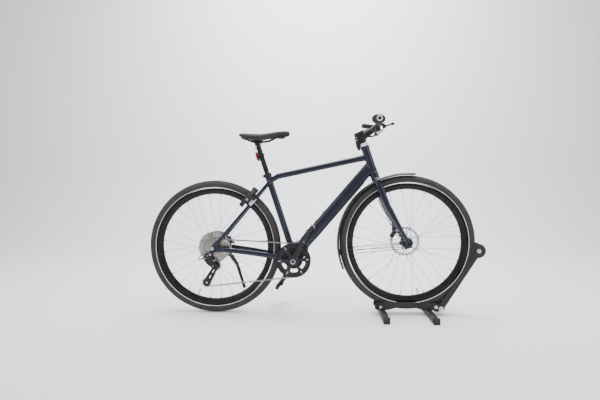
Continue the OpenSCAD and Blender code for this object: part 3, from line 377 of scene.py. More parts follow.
# ---- Frame ----
# Hydroformed aluminium tubes with smoothed welds, sprayed a dark blue-grey metallic and clear
# coated. The drop-outs, the bridge and the kickstand plate are welded in before painting.
HEAD_RAKE = math.radians(71)
SEAT_RAKE = math.radians(72)
CRANK = Vector((427, 0, 294))


def on_head(along, ahead=0.0, across=0.0):
    """A point on the steering axis, measured up it from beside the front axle."""
    return Vector((FRONT_HUB.x - (48 - ahead) * math.sin(HEAD_RAKE) - along * math.cos(HEAD_RAKE), across,
                   FRONT_HUB.z - (48 - ahead) * math.cos(HEAD_RAKE) + along * math.sin(HEAD_RAKE)))


def on_seat(along, ahead=0.0, across=0.0):
    """A point on the seat tube's axis, measured up it from the crank."""
    return Vector((CRANK.x + 6 - along * math.cos(SEAT_RAKE) + ahead, across,
                   CRANK.z + along * math.sin(SEAT_RAKE)))


def next_ring(bm, ring):
    """Draws a closed ring of verts out into a new one, and returns the new ring in the same order."""
    old = set(ring)
    edges = [e for e in {e for v in ring for e in v.link_edges} if all(v in old for v in e.verts)]
    grown = bmesh.ops.extrude_edge_only(bm, edges=edges)["geom"]
    step = {}
    for vert in (g for g in grown if isinstance(g, bmesh.types.BMVert)):
        step[next(e.other_vert(vert) for e in vert.link_edges if e.other_vert(vert) in old)] = vert
    return [step[v] for v in ring]


def oval(angle, square):
    """A point on a rounded square of half width 1; squareness 2 is a circle."""
    power = 2 / square
    return (math.copysign(abs(math.cos(angle)) ** power, math.cos(angle)),
            math.copysign(abs(math.sin(angle)) ** power, math.sin(angle)))


def lofted(bm, stations, sides=28):
    """A tube through stations of (centre, half depth, half width, squareness), capped at both ends."""
    ring = bmesh.ops.create_circle(bm, segments=sides, radius=1)["verts"]
    made = list(ring)
    first = list(ring)
    for index, (centre, depth, width, square) in enumerate(stations):
        ahead = Vector(stations[min(index + 1, len(stations) - 1)][0]) - Vector(stations[max(index - 1,
                0)][0])
        ahead.normalize()
        across = Vector((0, 1, 0)) if abs(ahead.y) < 0.9 else Vector((1, 0, 0))
        across = (across - ahead * across.dot(ahead)).normalized()
        over = across.cross(ahead).normalized()
        if index:
            ring = next_ring(bm, ring)
            made += ring
        for spoke, vert in enumerate(ring):
            x, y = oval(math.tau * spoke / sides, square)
            vert.co = Vector(centre) + over * (x * depth) + across * (y * width)
    bm.faces.new(first[::-1])
    bm.faces.new(ring)
    faces = list({f for v in made for f in v.link_faces})
    bmesh.ops.recalc_face_normals(bm, faces=faces)
    return made


def arc(centre, radius, start, end, count):
    """Points on an arc in the upright plane, angles in degrees."""
    return [(centre[0] + radius * math.cos(math.radians(start + (end - start) * k / count)),
             centre[1] + radius * math.sin(math.radians(start + (end - start) * k / count)))
            for k in range(count + 1)]


def bar_outline(start, end, width, end_width=None):
    """The outline of a bar with round ends."""
    end_width = end_width or width
    lean = math.degrees(math.atan2(end[1] - start[1], end[0] - start[0]))
    return arc(start, width / 2, lean + 90, lean + 270, 12) + arc(end, end_width / 2, lean - 90, lean + 90,
            12)


def cut_plate(bm, loops, near, far):
    """A plate in the upright plane with holes: closed outlines filled, then drawn out from near to far."""
    edges = []
    for loop in loops:
        verts = [bm.verts.new((x, near, z)) for x, z in loop]
        edges += [bm.edges.new(pair) for pair in zip(verts, verts[1:] + verts[:1])]
    skin = [f for f in bmesh.ops.triangle_fill(bm, edges=edges, use_beauty=True)["geom"]
            if isinstance(f, bmesh.types.BMFace)]
    grown = bmesh.ops.extrude_face_region(bm, geom=skin, use_keep_orig=True)["geom"]
    moved = [g for g in grown if isinstance(g, bmesh.types.BMVert)]
    bmesh.ops.translate(bm, verts=moved, vec=(0, far - near, 0))
    faces = list({f for v in moved for f in v.link_faces} | set(skin) | {f for e in edges
            for f in e.link_faces})
    bmesh.ops.recalc_face_normals(bm, faces=faces)
    return moved


def fused(bm, voxel, rounds, cutters=()):
    """Melts the overlapping solids of a bmesh into one skin with softened joins, then cuts clearances."""
    mesh = bpy.data.meshes.new("casting")
    bm.to_mesh(mesh)
    bm.free()
    casting = bpy.data.objects.new("casting", mesh)
    bpy.context.collection.objects.link(casting)
    skin = casting.modifiers.new("skin", "REMESH")
    skin.mode = "VOXEL"
    skin.voxel_size = voxel
    soften = casting.modifiers.new("soften", "SMOOTH")
    soften.factor = 0.5
    soften.iterations = rounds
    tools = []
    for number, tool in enumerate(cutters):
        tool_mesh = bpy.data.meshes.new(f"cutter_{number}")
        tool.to_mesh(tool_mesh)
        tool.free()
        cutter = bpy.data.objects.new(f"cutter_{number}", tool_mesh)
        bpy.context.collection.objects.link(cutter)
        cut = casting.modifiers.new(f"cut_{number}", "BOOLEAN")
        cut.operation = "DIFFERENCE"
        cut.object = cutter
        cut.solver = "EXACT"
        tools.append(cutter)
    bpy.context.view_layer.update()
    result = bmesh.new()
    finished = casting.evaluated_get(bpy.context.evaluated_depsgraph_get())
    result.from_mesh(finished.to_mesh())
    finished.to_mesh_clear()
    for spare in [casting, *tools]:
        bpy.data.objects.remove(spare, do_unlink=True)
    return result


# The frame's paint has fine metal flake under its clear coat, on top of the usual handling marks
frame_paint = finish("frame_metallic_paint", (0.0070, 0.0085, 0.0180), (0.011, 0.014, 0.028), 0.19, 0.30,
                     metallic=0.5, spread=9, fine=2600, cells=0.8, depth=0.05, coat=0.4, specular=0.35)
satin_black = finish("satin_black_paint", (0.010, 0.010, 0.011), (0.018, 0.018, 0.020), 0.32, 0.48,
                     metallic=0.2, spread=40, fine=1800, cells=0.4, depth=0.1)
bm = bmesh.new()
down_low = Vector((471, 0, 364))
down_high = on_head(446) + Vector((-10, 0, -7))
down_run = (down_high - down_low).normalized()
stations = []
for share, depth, width, square in ((-0.05, 33, 31, 2.9), (0.0, 33, 31, 2.9), (0.2, 32.5, 30.5, 3.0),
                                    (0.5, 32, 30, 3.0), (0.8, 31.5, 29.5, 2.9), (0.94, 31, 27, 2.7),
                                    (1.0, 31, 23, 2.5)):
    stations.append((down_low.lerp(down_high, share), depth, width, square))
lofted(bm, stations, 32)
top_front, top_corner, top_back = on_head(498), on_seat(468, 60) + Vector((0, 0, 1)), on_seat(442)
stations = [(top_front, 17, 18.5, 2.4), (top_front.lerp(top_corner, 0.08), 16.5, 17.5, 2.4)]
stations += [(top_front.lerp(top_corner, share), 16, 17, 2.6) for share in (0.2, 0.4, 0.6, 0.8, 0.93)]
stations += [(top_corner + Vector((-6, 0, -1.5)), 15.6, 17, 2.6),
             (top_corner.lerp(top_back, 0.35), 15.2, 17, 2.6), (top_back, 15, 16.5, 2.5)]
lofted(bm, stations, 28)
lofted(bm, [(on_seat(s), 17.5, 17.5, 2) for s in (48, 120, 200, 300, 400, 483)], 32)
lofted(bm, [(on_head(s), r, r, 2) for s, r in ((412, 24), (424, 24), (429, 22.3), (450, 21.8), (500, 21.8),
                                               (541, 22.3), (546, 23), (558, 23))], 40)
for side in (-1, 1):
    low, high = Vector((26, side * 69.5, 354)), Vector((361, side * 35, 306))
    lofted(bm, [(low.lerp(high, t) + Vector((0, 0, 3 * math.sin(math.pi * t))), d, w, 2.6) for t, d,
                w in ((0.0, 11, 6.5), (0.15, 12, 6.5), (0.5, 13, 7), (0.8, 13.5, 7.5), (1.0, 15, 9))], 24)
    low, high = Vector((20, side * 70, 382)), on_seat(440, 4, side * 17)
    lofted(bm, [(low.lerp(high, t), d, w, 2.5) for t, d, w in ((0.0, 9, 6.5), (0.2, 9, 6.5), (0.6, 9, 6.5),
                                                               (0.9, 9.5, 7), (1.0, 10, 8))], 24)
    near, far = (-75, -68) if side < 0 else (68, 75)
    cut_plate(bm, [bar_outline((0, 358), (36, 353), 30)], near, far)
    cut_plate(bm, [bar_outline((0, 358), (22, 384), 24)], near, far)
    if side < 0:
        cut_plate(bm, [bar_outline((0, 358), (-8, 328), 22)], near, far)
cut_plate(bm, [bar_outline((34, 348), (58, 304), 26)], 68, 78)
lofted(bm, [(on_seat(440, -22) + Vector((0, y, -30)), 8, 8, 2) for y in (-24, 0, 24)], 20)
bore = bmesh.new()
turned(bore, [(0, 0), (17.6, 0), (17.6, 160), (0, 160)], on_head(405), on_head(500) - on_head(405), 48)
cups = bmesh.new()
for seat in (404, 551):
    turned(cups, [(0, 0), (21, 0), (21, 15), (0, 15)], on_head(seat), on_head(500) - on_head(405), 48)
seat_bore = bmesh.new()
turned(seat_bore, [(0, 0), (13.7, 0), (13.7, 430), (0, 430)], on_seat(70), on_seat(90) - on_seat(70), 48)
kick_bore = bmesh.new()
turned(kick_bore, [(0, 0), (5.1, 0), (5.1, 40), (0, 40)], (58, 60, 304), steps=32)
axle_bore = bmesh.new()
turned(axle_bore, [(0, -100), (6, -100), (6, 100), (0, 100)], REAR_HUB, steps=40)
welded = fused(bm, 2.3, 4, (bore, cups, seat_bore, kick_bore, axle_bore))
piece("frame_weldment", welded, frame_paint, "frame",
      ["head_tube", "top_tube", "down_tube", "seat_tube", "chain_stays", "seat_stays"], crease=40)
paint("headset_bearings", bolt_steel)
paint("battery", satin_black)

# A slim battery door runs under the down tube, with its seam, a lock cover and two screws at its
# foot; two bottle bosses with their bolts stand on the tube's upper face.
down_out = down_run.cross(Vector((0, 1, 0))).normalized()
if down_out.z > 0:
    down_out.negate()
bm = bmesh.new()
door = []
for share in (0.13, 0.135, 0.3, 0.6, 0.855, 0.86):
    centre = down_low.lerp(down_high, share)
    edge = 0.6 if share in (0.13, 0.86) else 1.0
    door.append((centre + down_out * 21.0, 12.0 * edge, 26 * edge + 2.2, 3.4))
lofted(bm, door, 32)
piece("battery_door", bm, satin_black, "frame", crease=30)
bm = bmesh.new()
for along in (150, 214):
    base = down_low + down_run * along - down_out * 31.5
    turned(bm, [(2.6, -4), (6.4, -4), (6.6, 1.5), (6.0, 2.2), (2.6, 2.2)], base, -down_out, 28, loop=True)
piece("bottle_bosses", bm, frame_paint, "frame")
bm = bmesh.new()
for along in (150, 214):
    base = down_low + down_run * along - down_out * 33.6
    turned(bm, [(0, 0), (4.2, 0), (4.4, 0.8), (3.8, 2.2), (2.2, 2.7), (1.9, 2.5), (1.7, 0.9), (0, 0.7)], base,
           -down_out, 24)
piece("bottle_boss_bolts", bm, satin_black, "frame")

# ---- Fork ----
# Aluminium fork in the frame's paint: a tapered steerer, a broad crown and two blades that slim
# down to through-axle ends, with the brake mount on the left blade.
bm = bmesh.new()
lofted(bm, [(on_head(350, 0, y), r, r + 1, 2.2) for y, r in ((-42, 16), (-30, 17), (30, 17), (42, 16))], 28)
lofted(bm, [(on_head(s), r, r * 1.06, 2.2) for s, r in ((345, 20), (372, 23), (400, 24), (411.4, 24))], 36)
for side in (-1, 1):
    top, knee = on_head(372, 0, side * 22), on_head(222, 8, side * 50)
    tip = FRONT_HUB + Vector((0, side * 59, 0))
    shoulder = on_head(338, 1, side * 44)
    lofted(bm, [(top, 20, 18, 2.2), (on_head(358, 0, side * 36), 19, 17, 2.2), (shoulder, 18.5, 13.5, 2.4),
                (shoulder.lerp(knee, 0.5), 18, 13, 2.5), (knee, 16.5, 12.5, 2.5),
                (knee.lerp(tip, 0.3), 14.5, 11.5, 2.4), (knee.lerp(tip, 0.6), 12, 10.5, 2.3),
                (knee.lerp(tip, 0.85), 10, 9, 2.2), (tip, 9.5, 8.5, 2.2)], 28)
    turned(bm, [(0, 52.2), (15, 52.2), (15, 65.8), (0, 65.8)], FRONT_HUB, (0, side, 0), 40)
lofted(bm, [(FRONT_HUB + Vector(p), 9, 7, 2.3)
            for p in ((-30, 60, 44), (-58, 60, 66), (-64, 60, 92), (-52, 60, 120))], 20)
wheel_room = bmesh.new()
turned(wheel_room, [(0, -31.2), (375, -31.2), (375, 31.2), (0, 31.2)], FRONT_HUB, steps=128)
axle_room = bmesh.new()
turned(axle_room, [(0, -90), (6, -90), (6, 90), (0, 90)], FRONT_HUB, steps=40)
fork_skin = fused(bm, 2.0, 4, (wheel_room, axle_room))
turned(fork_skin, [(0, 0), (14.3, 0), (14.3, 216), (13.6, 217), (0, 217)], on_head(412),
       on_head(500) - on_head(412), 40)
piece("fork_casting", fork_skin, frame_paint, "fork", ["fork"], crease=40)

# ---- Headset, stem and handlebar ----
# A light spacer and cover sit on the head tube; the cast stem clamps the bar with a four-bolt face
# plate, and a drawn aluminium bar tapers from its middle to the grips.
BAR = Vector((861.42, 0, 994.05))
STEER_UP = (on_head(500) - on_head(400)).normalized()


def on_bar(across):
    """A point on the handlebar's axis; each end sweeps back and up a little."""
    past = max(0, abs(across) - 60)
    return BAR + Vector((-past * math.tan(math.radians(6)), across, past * 0.024))


spacer_pale = finish("spacer_pale", (0.60, 0.60, 0.62), (0.74, 0.74, 0.76), 0.25, 0.4, metallic=0.3,
                     spread=120, fine=1800, cells=0.2, depth=0.08)
bm = bmesh.new()
turned(bm, [(19, 0), (22.6, 0), (22.9, 0.6), (21.6, 9), (19.6, 16.4), (18.8, 17), (18.8, 8)],
       on_head(558.6), STEER_UP, 56, loop=True)
piece("headset_spacers", bm, spacer_pale, "fork")
bm = bmesh.new()
turned(bm, [(14.4, 0), (18.2, 0), (18.6, 1), (18.6, 11), (18.2, 12), (14.4, 12)], on_head(563.7), STEER_UP,
       56, loop=True)
turned(bm, [(0, 0), (17.4, 0), (18, 0.8), (17.4, 2.6), (15, 3.2), (5.4, 3.4), (4.8, 1.2), (0, 1.2)],
       on_head(636.2), STEER_UP, 56)
piece("headset_covers", bm, satin_black, "fork")
bm = bmesh.new()
turned(bm, [(0, 0), (4.2, 0), (4.2, 2.6), (3.6, 3.2), (2.2, 3.2), (2, 1.4), (0, 1.4)], on_head(637.6),
       STEER_UP, 28)
piece("headset_top_bolt", bm, bolt_steel, "fork")

bm = bmesh.new()
lofted(bm, [(on_head(s, -back, 0), d, w, 2.5) for s, back, d,
            w in ((576, 7, 25, 17.6), (579, 7.5, 26, 18.6), (600, 8, 27, 18.4), (630, 7, 27, 18.6),
                  (637, 6.5, 26, 17.4))], 36)
lofted(bm, [(on_head(s, -back, 0), d, w, 2.8) for s, back, d,
            w in ((546, 32, 6, 9), (552, 32.5, 8.4, 12), (574, 31, 11, 14), (594, 25, 13, 15))], 28)
root = on_head(606)
reach = BAR - root
lofted(bm, [(root + reach * t, d, w, 2.5) for t, d, w in ((0.0, 22, 17), (0.3, 19, 17), (0.6, 17, 17.5),
                                                          (0.86, 15.5, 20), (0.96, 16, 21.5))], 28)
lofted(bm, [(BAR + Vector((0, y, 0)), 17.2, 17.2, 2) for y in (-22.4, -20, 20, 22.4)], 36)
for y in (-13, 13):
    lofted(bm, [(on_head(s, -30, y), 6, 5.5, 2.2) for s in (596, 618)], 16)
bar_room = bmesh.new()
turned(bar_room, [(0, -60), (12.75, -60), (12.75, 60), (0, 60)], BAR, steps=48)
steerer_room = bmesh.new()
turned(steerer_room, [(0, 0), (14.4, 0), (14.4, 62), (0, 62)], on_head(570), STEER_UP, 40)
front_slot = bmesh.new()
bmesh.ops.create_cube(front_slot, size=1, matrix=Matrix.Translation(BAR + Vector((2.5, 0, 0))) @
                      Matrix.Diagonal((1.2, 60, 60, 1)))
stem_skin = fused(bm, 1.1, 4, (bar_room, steerer_room, front_slot))
piece("stem_casting", stem_skin, satin_black, "fork", ["stem"], crease=45)
bm = bmesh.new()
for y in (-15, 15):
    for z in (-13.4, 13.4):
        turned(bm, [(0, 0), (3.6, 0), (3.9, 0.5), (3.9, 3.8), (3.4, 4.3), (2, 4.3), (1.8, 2), (0, 2)],
               BAR + Vector((12.6, y, z)), (1, 0, 0.05), 20)
for s in (600, 614):
    turned(bm, [(0, 0), (3.4, 0), (3.4, 3.2), (2.9, 3.7), (1.8, 3.7), (1.6, 1.8), (0, 1.8)],
           on_head(s, -30, -18.2), (0, -1, 0), 20)
piece("stem_bolts", bm, bolt_steel, "fork")

bar_metal = finish("bar_anodised", (0.011, 0.011, 0.012), (0.019, 0.019, 0.021), 0.24, 0.36, metallic=0.35,
                   spread=60, fine=1900, cells=0.2, depth=0.1, stretch=(1, 6, 1))
bm = bmesh.new()
lofted(bm, [(on_bar(y), r, r, 2) for y, r in [(-311, 11.1), (-250, 11.1), (-180, 11.1), (-120, 11.1),
                                              (-84, 11.15), (-66, 12.1), (-54, 12.7), (-30, 12.7),
                                              (0, 12.7), (30, 12.7), (54, 12.7), (66, 12.1), (84, 11.15),
                                              (120, 11.1), (180, 11.1), (250, 11.1), (311, 11.1)]], 36)
piece("handlebar_tube", bm, bar_metal, "fork", ["handlebar"], crease=60)

# ---- Grips ----
# Moulded rubber grips with a palm wing that points back, a fine diamond texture, a clamp ring on
# the inner end and a light ring on the end cap.
grip_rubber = finish("grip_rubber", (0.016, 0.016, 0.017), (0.028, 0.028, 0.029), 0.6, 0.78, spread=50,
                     fine=620, cells=0.95, depth=0.9)
ring_white = finish("grip_end_white", (0.62, 0.62, 0.64), (0.76, 0.76, 0.77), 0.3, 0.45, spread=90,
                    fine=1600, depth=0.1)
for side, name in ((-1, "right"), (1, "left")):
    start, end = on_bar(side * 183), on_bar(side * 311)
    bm = bmesh.new()
    stations = []
    for t, front, back, high in ((0.0, 15, 15, 15), (0.02, 15.8, 16, 15.8), (0.12, 16, 16.5, 15.8),
                                 (0.3, 16.4, 18, 15.8), (0.45, 16.6, 22, 15.6), (0.6, 16.6, 27, 16),
                                 (0.75, 18, 31.5, 17.4), (0.86, 23, 35, 19.5), (0.95, 26.5, 35.5, 21),
                                 (0.985, 25.5, 34.5, 20), (1.0, 21, 30, 16.5)):
        centre = start.lerp(end, t) + Vector(((front - back) / 2, 0, -0.12 * (back - 15)))
        stations.append((centre, high, (front + back) / 2, 2.3))
    ring = bmesh.ops.create_circle(bm, segments=40, radius=1)["verts"]
    rows = [ring]
    for index, (centre, high, wide, square) in enumerate(stations):
        if index:
            ring = next_ring(bm, ring)
            rows.append(ring)
        for spoke, vert in enumerate(ring):
            x, z = oval(math.tau * spoke / 40, square)
            vert.co = centre + Vector((x * wide, 0, z * high))
    bm.faces.new(rows[0])
    bm.faces.new(rows[-1])
    bmesh.ops.recalc_face_normals(bm, faces=bm.faces)
    # shallow moulded ribs across the palm
    ribs = [f for f in bm.faces if len(f.verts) == 4 and 0.15 < abs(f.calc_center_median().y - start.y)
            / 128 < 0.85]
    bmesh.ops.subdivide_edges(bm, edges=list({e for f in ribs
                                              for e in f.edges if abs((e.verts[0].co
            - e.verts[1].co).y) > 6}), cuts=3, use_grid_fill=True)
    ribs = [f for f in bm.faces if len(f.verts) == 4 and 0.15 < abs(f.calc_center_median().y - start.y)
            / 128 < 0.85]
    bmesh.ops.inset_individual(bm, faces=ribs, thickness=0.35, depth=0.35)
    piece(f"grip_{name}", bm, grip_rubber, "fork", ["grips"] if side < 0 else (), crease=50)
    bm = bmesh.new()
    turned(bm, [(11.2, -9), (14.6, -9), (15.4, -8.2), (15.6, -1), (15, 0), (11.2, 0)], start, end - start,
           40, loop=True)
    piece(f"grip_clamp_{name}", bm, bar_metal, "fork")
    bm = bmesh.new()
    turned(bm, [(8.5, -1.5), (13, -1.5), (13.6, -0.6), (13.4, 1.8), (12.4, 2.6), (9.4, 2.6), (8.5, 1.6)],
           end, end - start, 40, loop=True)
    piece(f"grip_end_ring_{name}", bm, ring_white, "fork")
    bm = bmesh.new()
    turned(bm, [(0, -1), (9, -1), (9, 1.2), (7, 2.2), (0, 2.6)], end, end - start, 32)
    piece(f"grip_end_plug_{name}", bm, cap_plastic, "fork")

# ---- Brake levers, shifter and display ----
# Each hydraulic lever has a clamp round the bar, a slim reservoir that runs inward and a forged
# two-finger blade on a vertical pin; a shifter pod hangs under the bar on the right and an oval
# display with a lit ring sits left of the stem.
LEVER_MOUNT = 147


def lever_pivot(side):
    """The middle of a brake lever's pin."""
    return on_bar(side * 155) + Vector((30, -side * 6, -14))


lever_metal = finish("lever_satin", (0.014, 0.014, 0.015), (0.026, 0.026, 0.028), 0.28, 0.42, metallic=0.4,
                     spread=70, fine=1500, cells=0.2, depth=0.12)
pod_plastic = finish("pod_plastic", (0.014, 0.014, 0.015), (0.024, 0.024, 0.026), 0.42, 0.58, spread=70,
                     fine=1500, cells=0.5, depth=0.25)
bm = bmesh.new()
pin = bmesh.new()
for side in (-1, 1):
    y = side * LEVER_MOUNT
    pivot = lever_pivot(side)
    mount = on_bar(y)
    lofted(bm, [(on_bar(y - 7), 15.2, 15.2, 2.1), (on_bar(y + 7), 15.2, 15.2, 2.1)], 32)
    lofted(bm, [(mount + Vector(p), 7.5, 7, 2.3)
                for p in ((6, 0, 2), (20, side * 1, -5), (30, -side * 2, -9))], 20)
    lofted(bm, [(mount + Vector((x, side * dy, z)), r * 0.95, r, 2.4) for x, dy, z,
                r in ((17, 8, -5, 5.5), (19, 4, -5, 7.6), (24, -6, -5.3, 8), (30, -18, -5.6, 7.8),
                      (34, -28, -6, 6.4), (35.5, -33, -6, 4.4))], 24)
    lofted(bm, [(pivot + Vector((0, 0, z)), r, r, 2) for z, r in ((-9.3, 8), (-8, 9), (8, 9), (9.3, 8))], 24)
    turned(pin, [(0, -10.2), (3.4, -10.2), (3.9, -9.6), (3.9, -8.6), (2.95, -8.4), (2.95, 8.4), (3.9, 8.6),
                 (3.9, 9.6), (3.4, 10.2), (2, 10.2), (1.8, 8.8), (0, 8.8)], pivot, (0, 0, 1), 20)
bar_tunnel = bmesh.new()
for side in (-1, 1):
    turned(bar_tunnel, [(0, -26), (11.3, -26), (11.3, 26), (0, 26)], on_bar(side * LEVER_MOUNT),
           on_bar(side * 150) - on_bar(side * 140), 40)
blade_room = bmesh.new()
for side in (-1, 1):
    pivot = lever_pivot(side)
    bmesh.ops.create_cube(blade_room, size=1, matrix=Matrix.Translation(pivot)
                          @ Matrix.Diagonal((36, 38, 7.2, 1)))
lever_mounts = fused(bm, 0.9, 4, (bar_tunnel, blade_room))
piece("brake_lever_mounts", lever_mounts, lever_metal, "fork", ["control_clamps"], crease=45)
piece("brake_lever_pins", pin, bolt_steel, "fork")
bm = bmesh.new()
for side in (-1, 1):
    mount = on_bar(side * LEVER_MOUNT)
    turned(bm, [(0, 0), (2.3, 0), (2.6, 0.4), (2.6, 3), (2.2, 3.4), (1.3, 3.4), (1.2, 1.6), (0, 1.6)],
           mount + Vector((10.5, side * 2, 12)), (0.5, 0, 1), 18)
    turned(bm, [(0, 0), (2.2, 0), (2.4, 0.4), (2.2, 1.4), (1.2, 1.4), (1, 0.6), (0, 0.6)],
           mount + Vector((31, -side * 16, 1.4)), (0, 0, 1), 18)
piece("brake_mount_screws", bm, bolt_steel, "fork")
bm = bmesh.new()
for side in (-1, 1):
    mount = on_bar(side * LEVER_MOUNT)
    lofted(bm, [(mount + Vector((x, side * dy, z)), 0.8, w, 3.2) for x, dy, z, w in
                ((23, -1, 2.4, 4.2), (26, -8, 2.2, 5.6), (31, -19, 1.8, 5.4), (34, -26, 0.8, 4))], 20)
piece("brake_reservoir_covers", bm, pod_plastic, "fork", crease=45)

for side, name in ((-1, "right"), (1, "left")):
    pivot = lever_pivot(side)
    bm = bmesh.new()
    blade = []
    for t, x, y, r in ((0, 1, -5, 4.9), (0.1, 1.5, 4, 5.2), (0.25, 5, 18, 5.0), (0.45, 11, 40, 4.8),
                       (0.65, 15, 60, 5.2), (0.8, 17.5, 76, 6.0), (0.92, 20.5, 89, 6.8), (1, 23, 97, 6.6)):
        blade.append((pivot + Vector((x, side * y, -0.5 * t)), 3.0 + 1.6 * t, r, 2.6))
    lofted(bm, blade, 24)
    turned(bm, [(0, -7), (4.6, -6.2), (7, -3.8), (7.8, 0), (7, 3.8), (4.6, 6.2), (0, 7)],
           pivot + Vector((24, side * 98, 0)), (0, 0, 1), 28)
    turned(bm, [(3.05, -3), (6.6, -3), (7, -2.4), (7, 2.4), (6.6, 3), (3.05, 3)], pivot, (0, 0, 1), 32,
           loop=True)
    piece(f"brake_lever_blade_{name}", bm, lever_metal, f"brake_lever_{name}",
          [f"brake_lever_{name}"], crease=40)

bm = bmesh.new()
shifter = on_bar(-121) + Vector((-4, 0, -30))
turned(bm, [(11.2, -6), (15.4, -6), (15.9, -5.2), (15.9, 5.2), (15.4, 6), (11.2, 6)], on_bar(-121),
       (0, 1, 0), 40, loop=True)
turned(bm, [(0, -13.5), (10, -13.5), (12, -12), (12.6, -9), (12.6, 9), (12, 12), (10, 13.5), (0, 13.5)],
       shifter + Vector((4, 3, 7)), (0, 1, 0), 48)
lofted(bm, [(shifter + Vector(p), d, w, 2.6) for p, d,
            w in (((4, 3, 18), 9, 7), ((4, 3, 10), 10, 9), ((3, 3, 0), 9, 10))], 24)
bmesh.ops.recalc_face_normals(bm, faces=bm.faces)
piece("shifter_pod", bm, pod_plastic, "fork", crease=35)
bm = bmesh.new()
turned(bm, [(0, 0), (8.2, 0), (8.6, 0.5), (8.2, 1.2), (0, 1.6)], shifter + Vector((4, 16.4, 7)), (0, 1, 0),
       36)
turned(bm, [(2.6, 0), (4.4, 0), (4.6, 3), (4.2, 9), (2.6, 9.4)], shifter + Vector((14, 8, 4)),
       (1, 0.5, -0.1), 24, loop=True)
piece("shifter_cap_and_barrel", bm, satin_black, "fork", crease=35)
for name, dy, long in (("up", -8, 20), ("down", 6, 27)):
    root = shifter + Vector((-13.6, dy, -2))
    bm = bmesh.new()
    turned(bm, [(0, -3), (4, -3), (4.5, -2.4), (4.5, 2.4), (4, 3), (0, 3)], root, (0, 1, 0), 28)
    lofted(bm, [(root + Vector((-long * t, 0, 8 * t + 1.2 * math.sin(3 * t))), d, w, 2.5) for t, d, w in
                ((0, 2.6, 2.9), (0.3, 2.4, 2.9), (0.6, 2.2, 3.6), (0.85, 2.0, 4.8), (1, 1.6, 4.2))], 22)
    piece(f"shift_paddle_{name}_moulding", bm, pod_plastic, f"shift_paddle_{name}",
          [f"shift_paddle_{name}"], crease=40)

display = on_bar(94) + Vector((-27, 0, 17))
tilt = Matrix.Translation(display) @ Matrix.Rotation(math.radians(8), 4, "Y")
display_up = Vector((-math.sin(math.radians(-8)), 0, math.cos(math.radians(8))))
glass = finish("display_lens", (0.008, 0.009, 0.010), (0.014, 0.015, 0.017), 0.06, 0.14, spread=90,
               fine=2000, cells=0.1, depth=0.02, coat=1.0)
bm = bmesh.new()
turned(bm, [(11.2, -6), (15.2, -6), (15.8, -5.2), (15.8, 5.2), (15.2, 6), (11.2, 6)], on_bar(94), (0, 1, 0),
       40, loop=True)
shell = bmesh.ops.create_circle(bm, cap_ends=True, segments=56, radius=1)["verts"]
for vert in shell:
    angle = math.atan2(vert.co.y, vert.co.x)
    power = 2 / 2.6
    vert.co = Vector((math.copysign(abs(math.cos(angle)) ** power, math.cos(angle)) * 36,
                      math.copysign(abs(math.sin(angle)) ** power, math.sin(angle)) * 20, 12))
top = [f for f in bm.faces if len(f.verts) == 56]
bmesh.ops.recalc_face_normals(bm, faces=top)
grown = bmesh.ops.extrude_face_region(bm, geom=top, use_keep_orig=True)["geom"]
low = [g for g in grown if isinstance(g, bmesh.types.BMVert)]
bmesh.ops.translate(bm, verts=low, vec=(0, 0, -23))
bmesh.ops.scale(bm, verts=low, vec=(0.94, 0.9, 1))
rim = [e for v in shell for e in v.link_edges if e.other_vert(v) in set(shell)]
rim += [e for v in low for e in v.link_edges if e.other_vert(v) in set(low)]
bmesh.ops.bevel(bm, geom=list(set(rim)), offset=6.5, segments=6, profile=0.5, affect="EDGES", material=-1)
body_verts = [v for v in bm.verts if v.co.length < 60]
bmesh.ops.transform(bm, matrix=tilt, verts=body_verts)
bmesh.ops.recalc_face_normals(bm, faces=bm.faces)
piece("display_case", bm, pod_plastic, "fork", crease=38)
bm = bmesh.new()
lens = bmesh.ops.create_circle(bm, cap_ends=True, segments=48, radius=1)["verts"]
for vert in lens:
    vert.co = Vector((vert.co.x * 13.5 + 10, vert.co.y * 12, 12.2))
lens_face = list(bm.faces)
grown = bmesh.ops.extrude_face_region(bm, geom=lens_face, use_keep_orig=True)["geom"]
bmesh.ops.translate(bm, verts=[g for g in grown if isinstance(g, bmesh.types.BMVert)], vec=(0, 0, -1.2))
bmesh.ops.transform(bm, matrix=tilt, verts=bm.verts)
bmesh.ops.recalc_face_normals(bm, faces=bm.faces)
piece("display_window", bm, glass, "fork", bevel=0.4)
lamp_green = finish("indicator_green", (0.02, 0.34, 0.09), (0.03, 0.5, 0.14), 0.2, 0.3, spread=90,
                    fine=1500, depth=0.05)
lamp_green.node_tree.nodes["Principled BSDF"].inputs["Emission Color"].default_value = (0.05, 0.9, 0.25, 1)
lamp_green.node_tree.nodes["Principled BSDF"].inputs["Emission Strength"].default_value = 1.4
bm = bmesh.new()
turned(bm, [(6.9, 0), (8.3, 0), (8.3, 0.9), (6.9, 0.9)], tilt @ Vector((-9, 0, 11.9)), display_up, 44,
       loop=True)
piece("display_lamp_ring", bm, lamp_green, "fork")
bm = bmesh.new()
turned(bm, [(0, 0), (5.6, 0), (6, 0.5), (6, 4.6), (5.4, 5.6), (3.6, 5.9), (0, 5.6)],
       tilt @ Vector((-14, 0, 8.1)), display_up, 40)
piece("display_button_cap", bm, pod_plastic, "control_button", ["control_button"], crease=35)

# ---- Brake hoses ----
# Black hydraulic hoses, held at both ends: one from each lever into the stem, and one from the
# crown down the left blade to the front brake.
hose_skin = finish("hose_jacket", (0.010, 0.010, 0.011), (0.018, 0.018, 0.019), 0.38, 0.55, spread=60,
                   fine=1600, cells=0.3, depth=0.15)


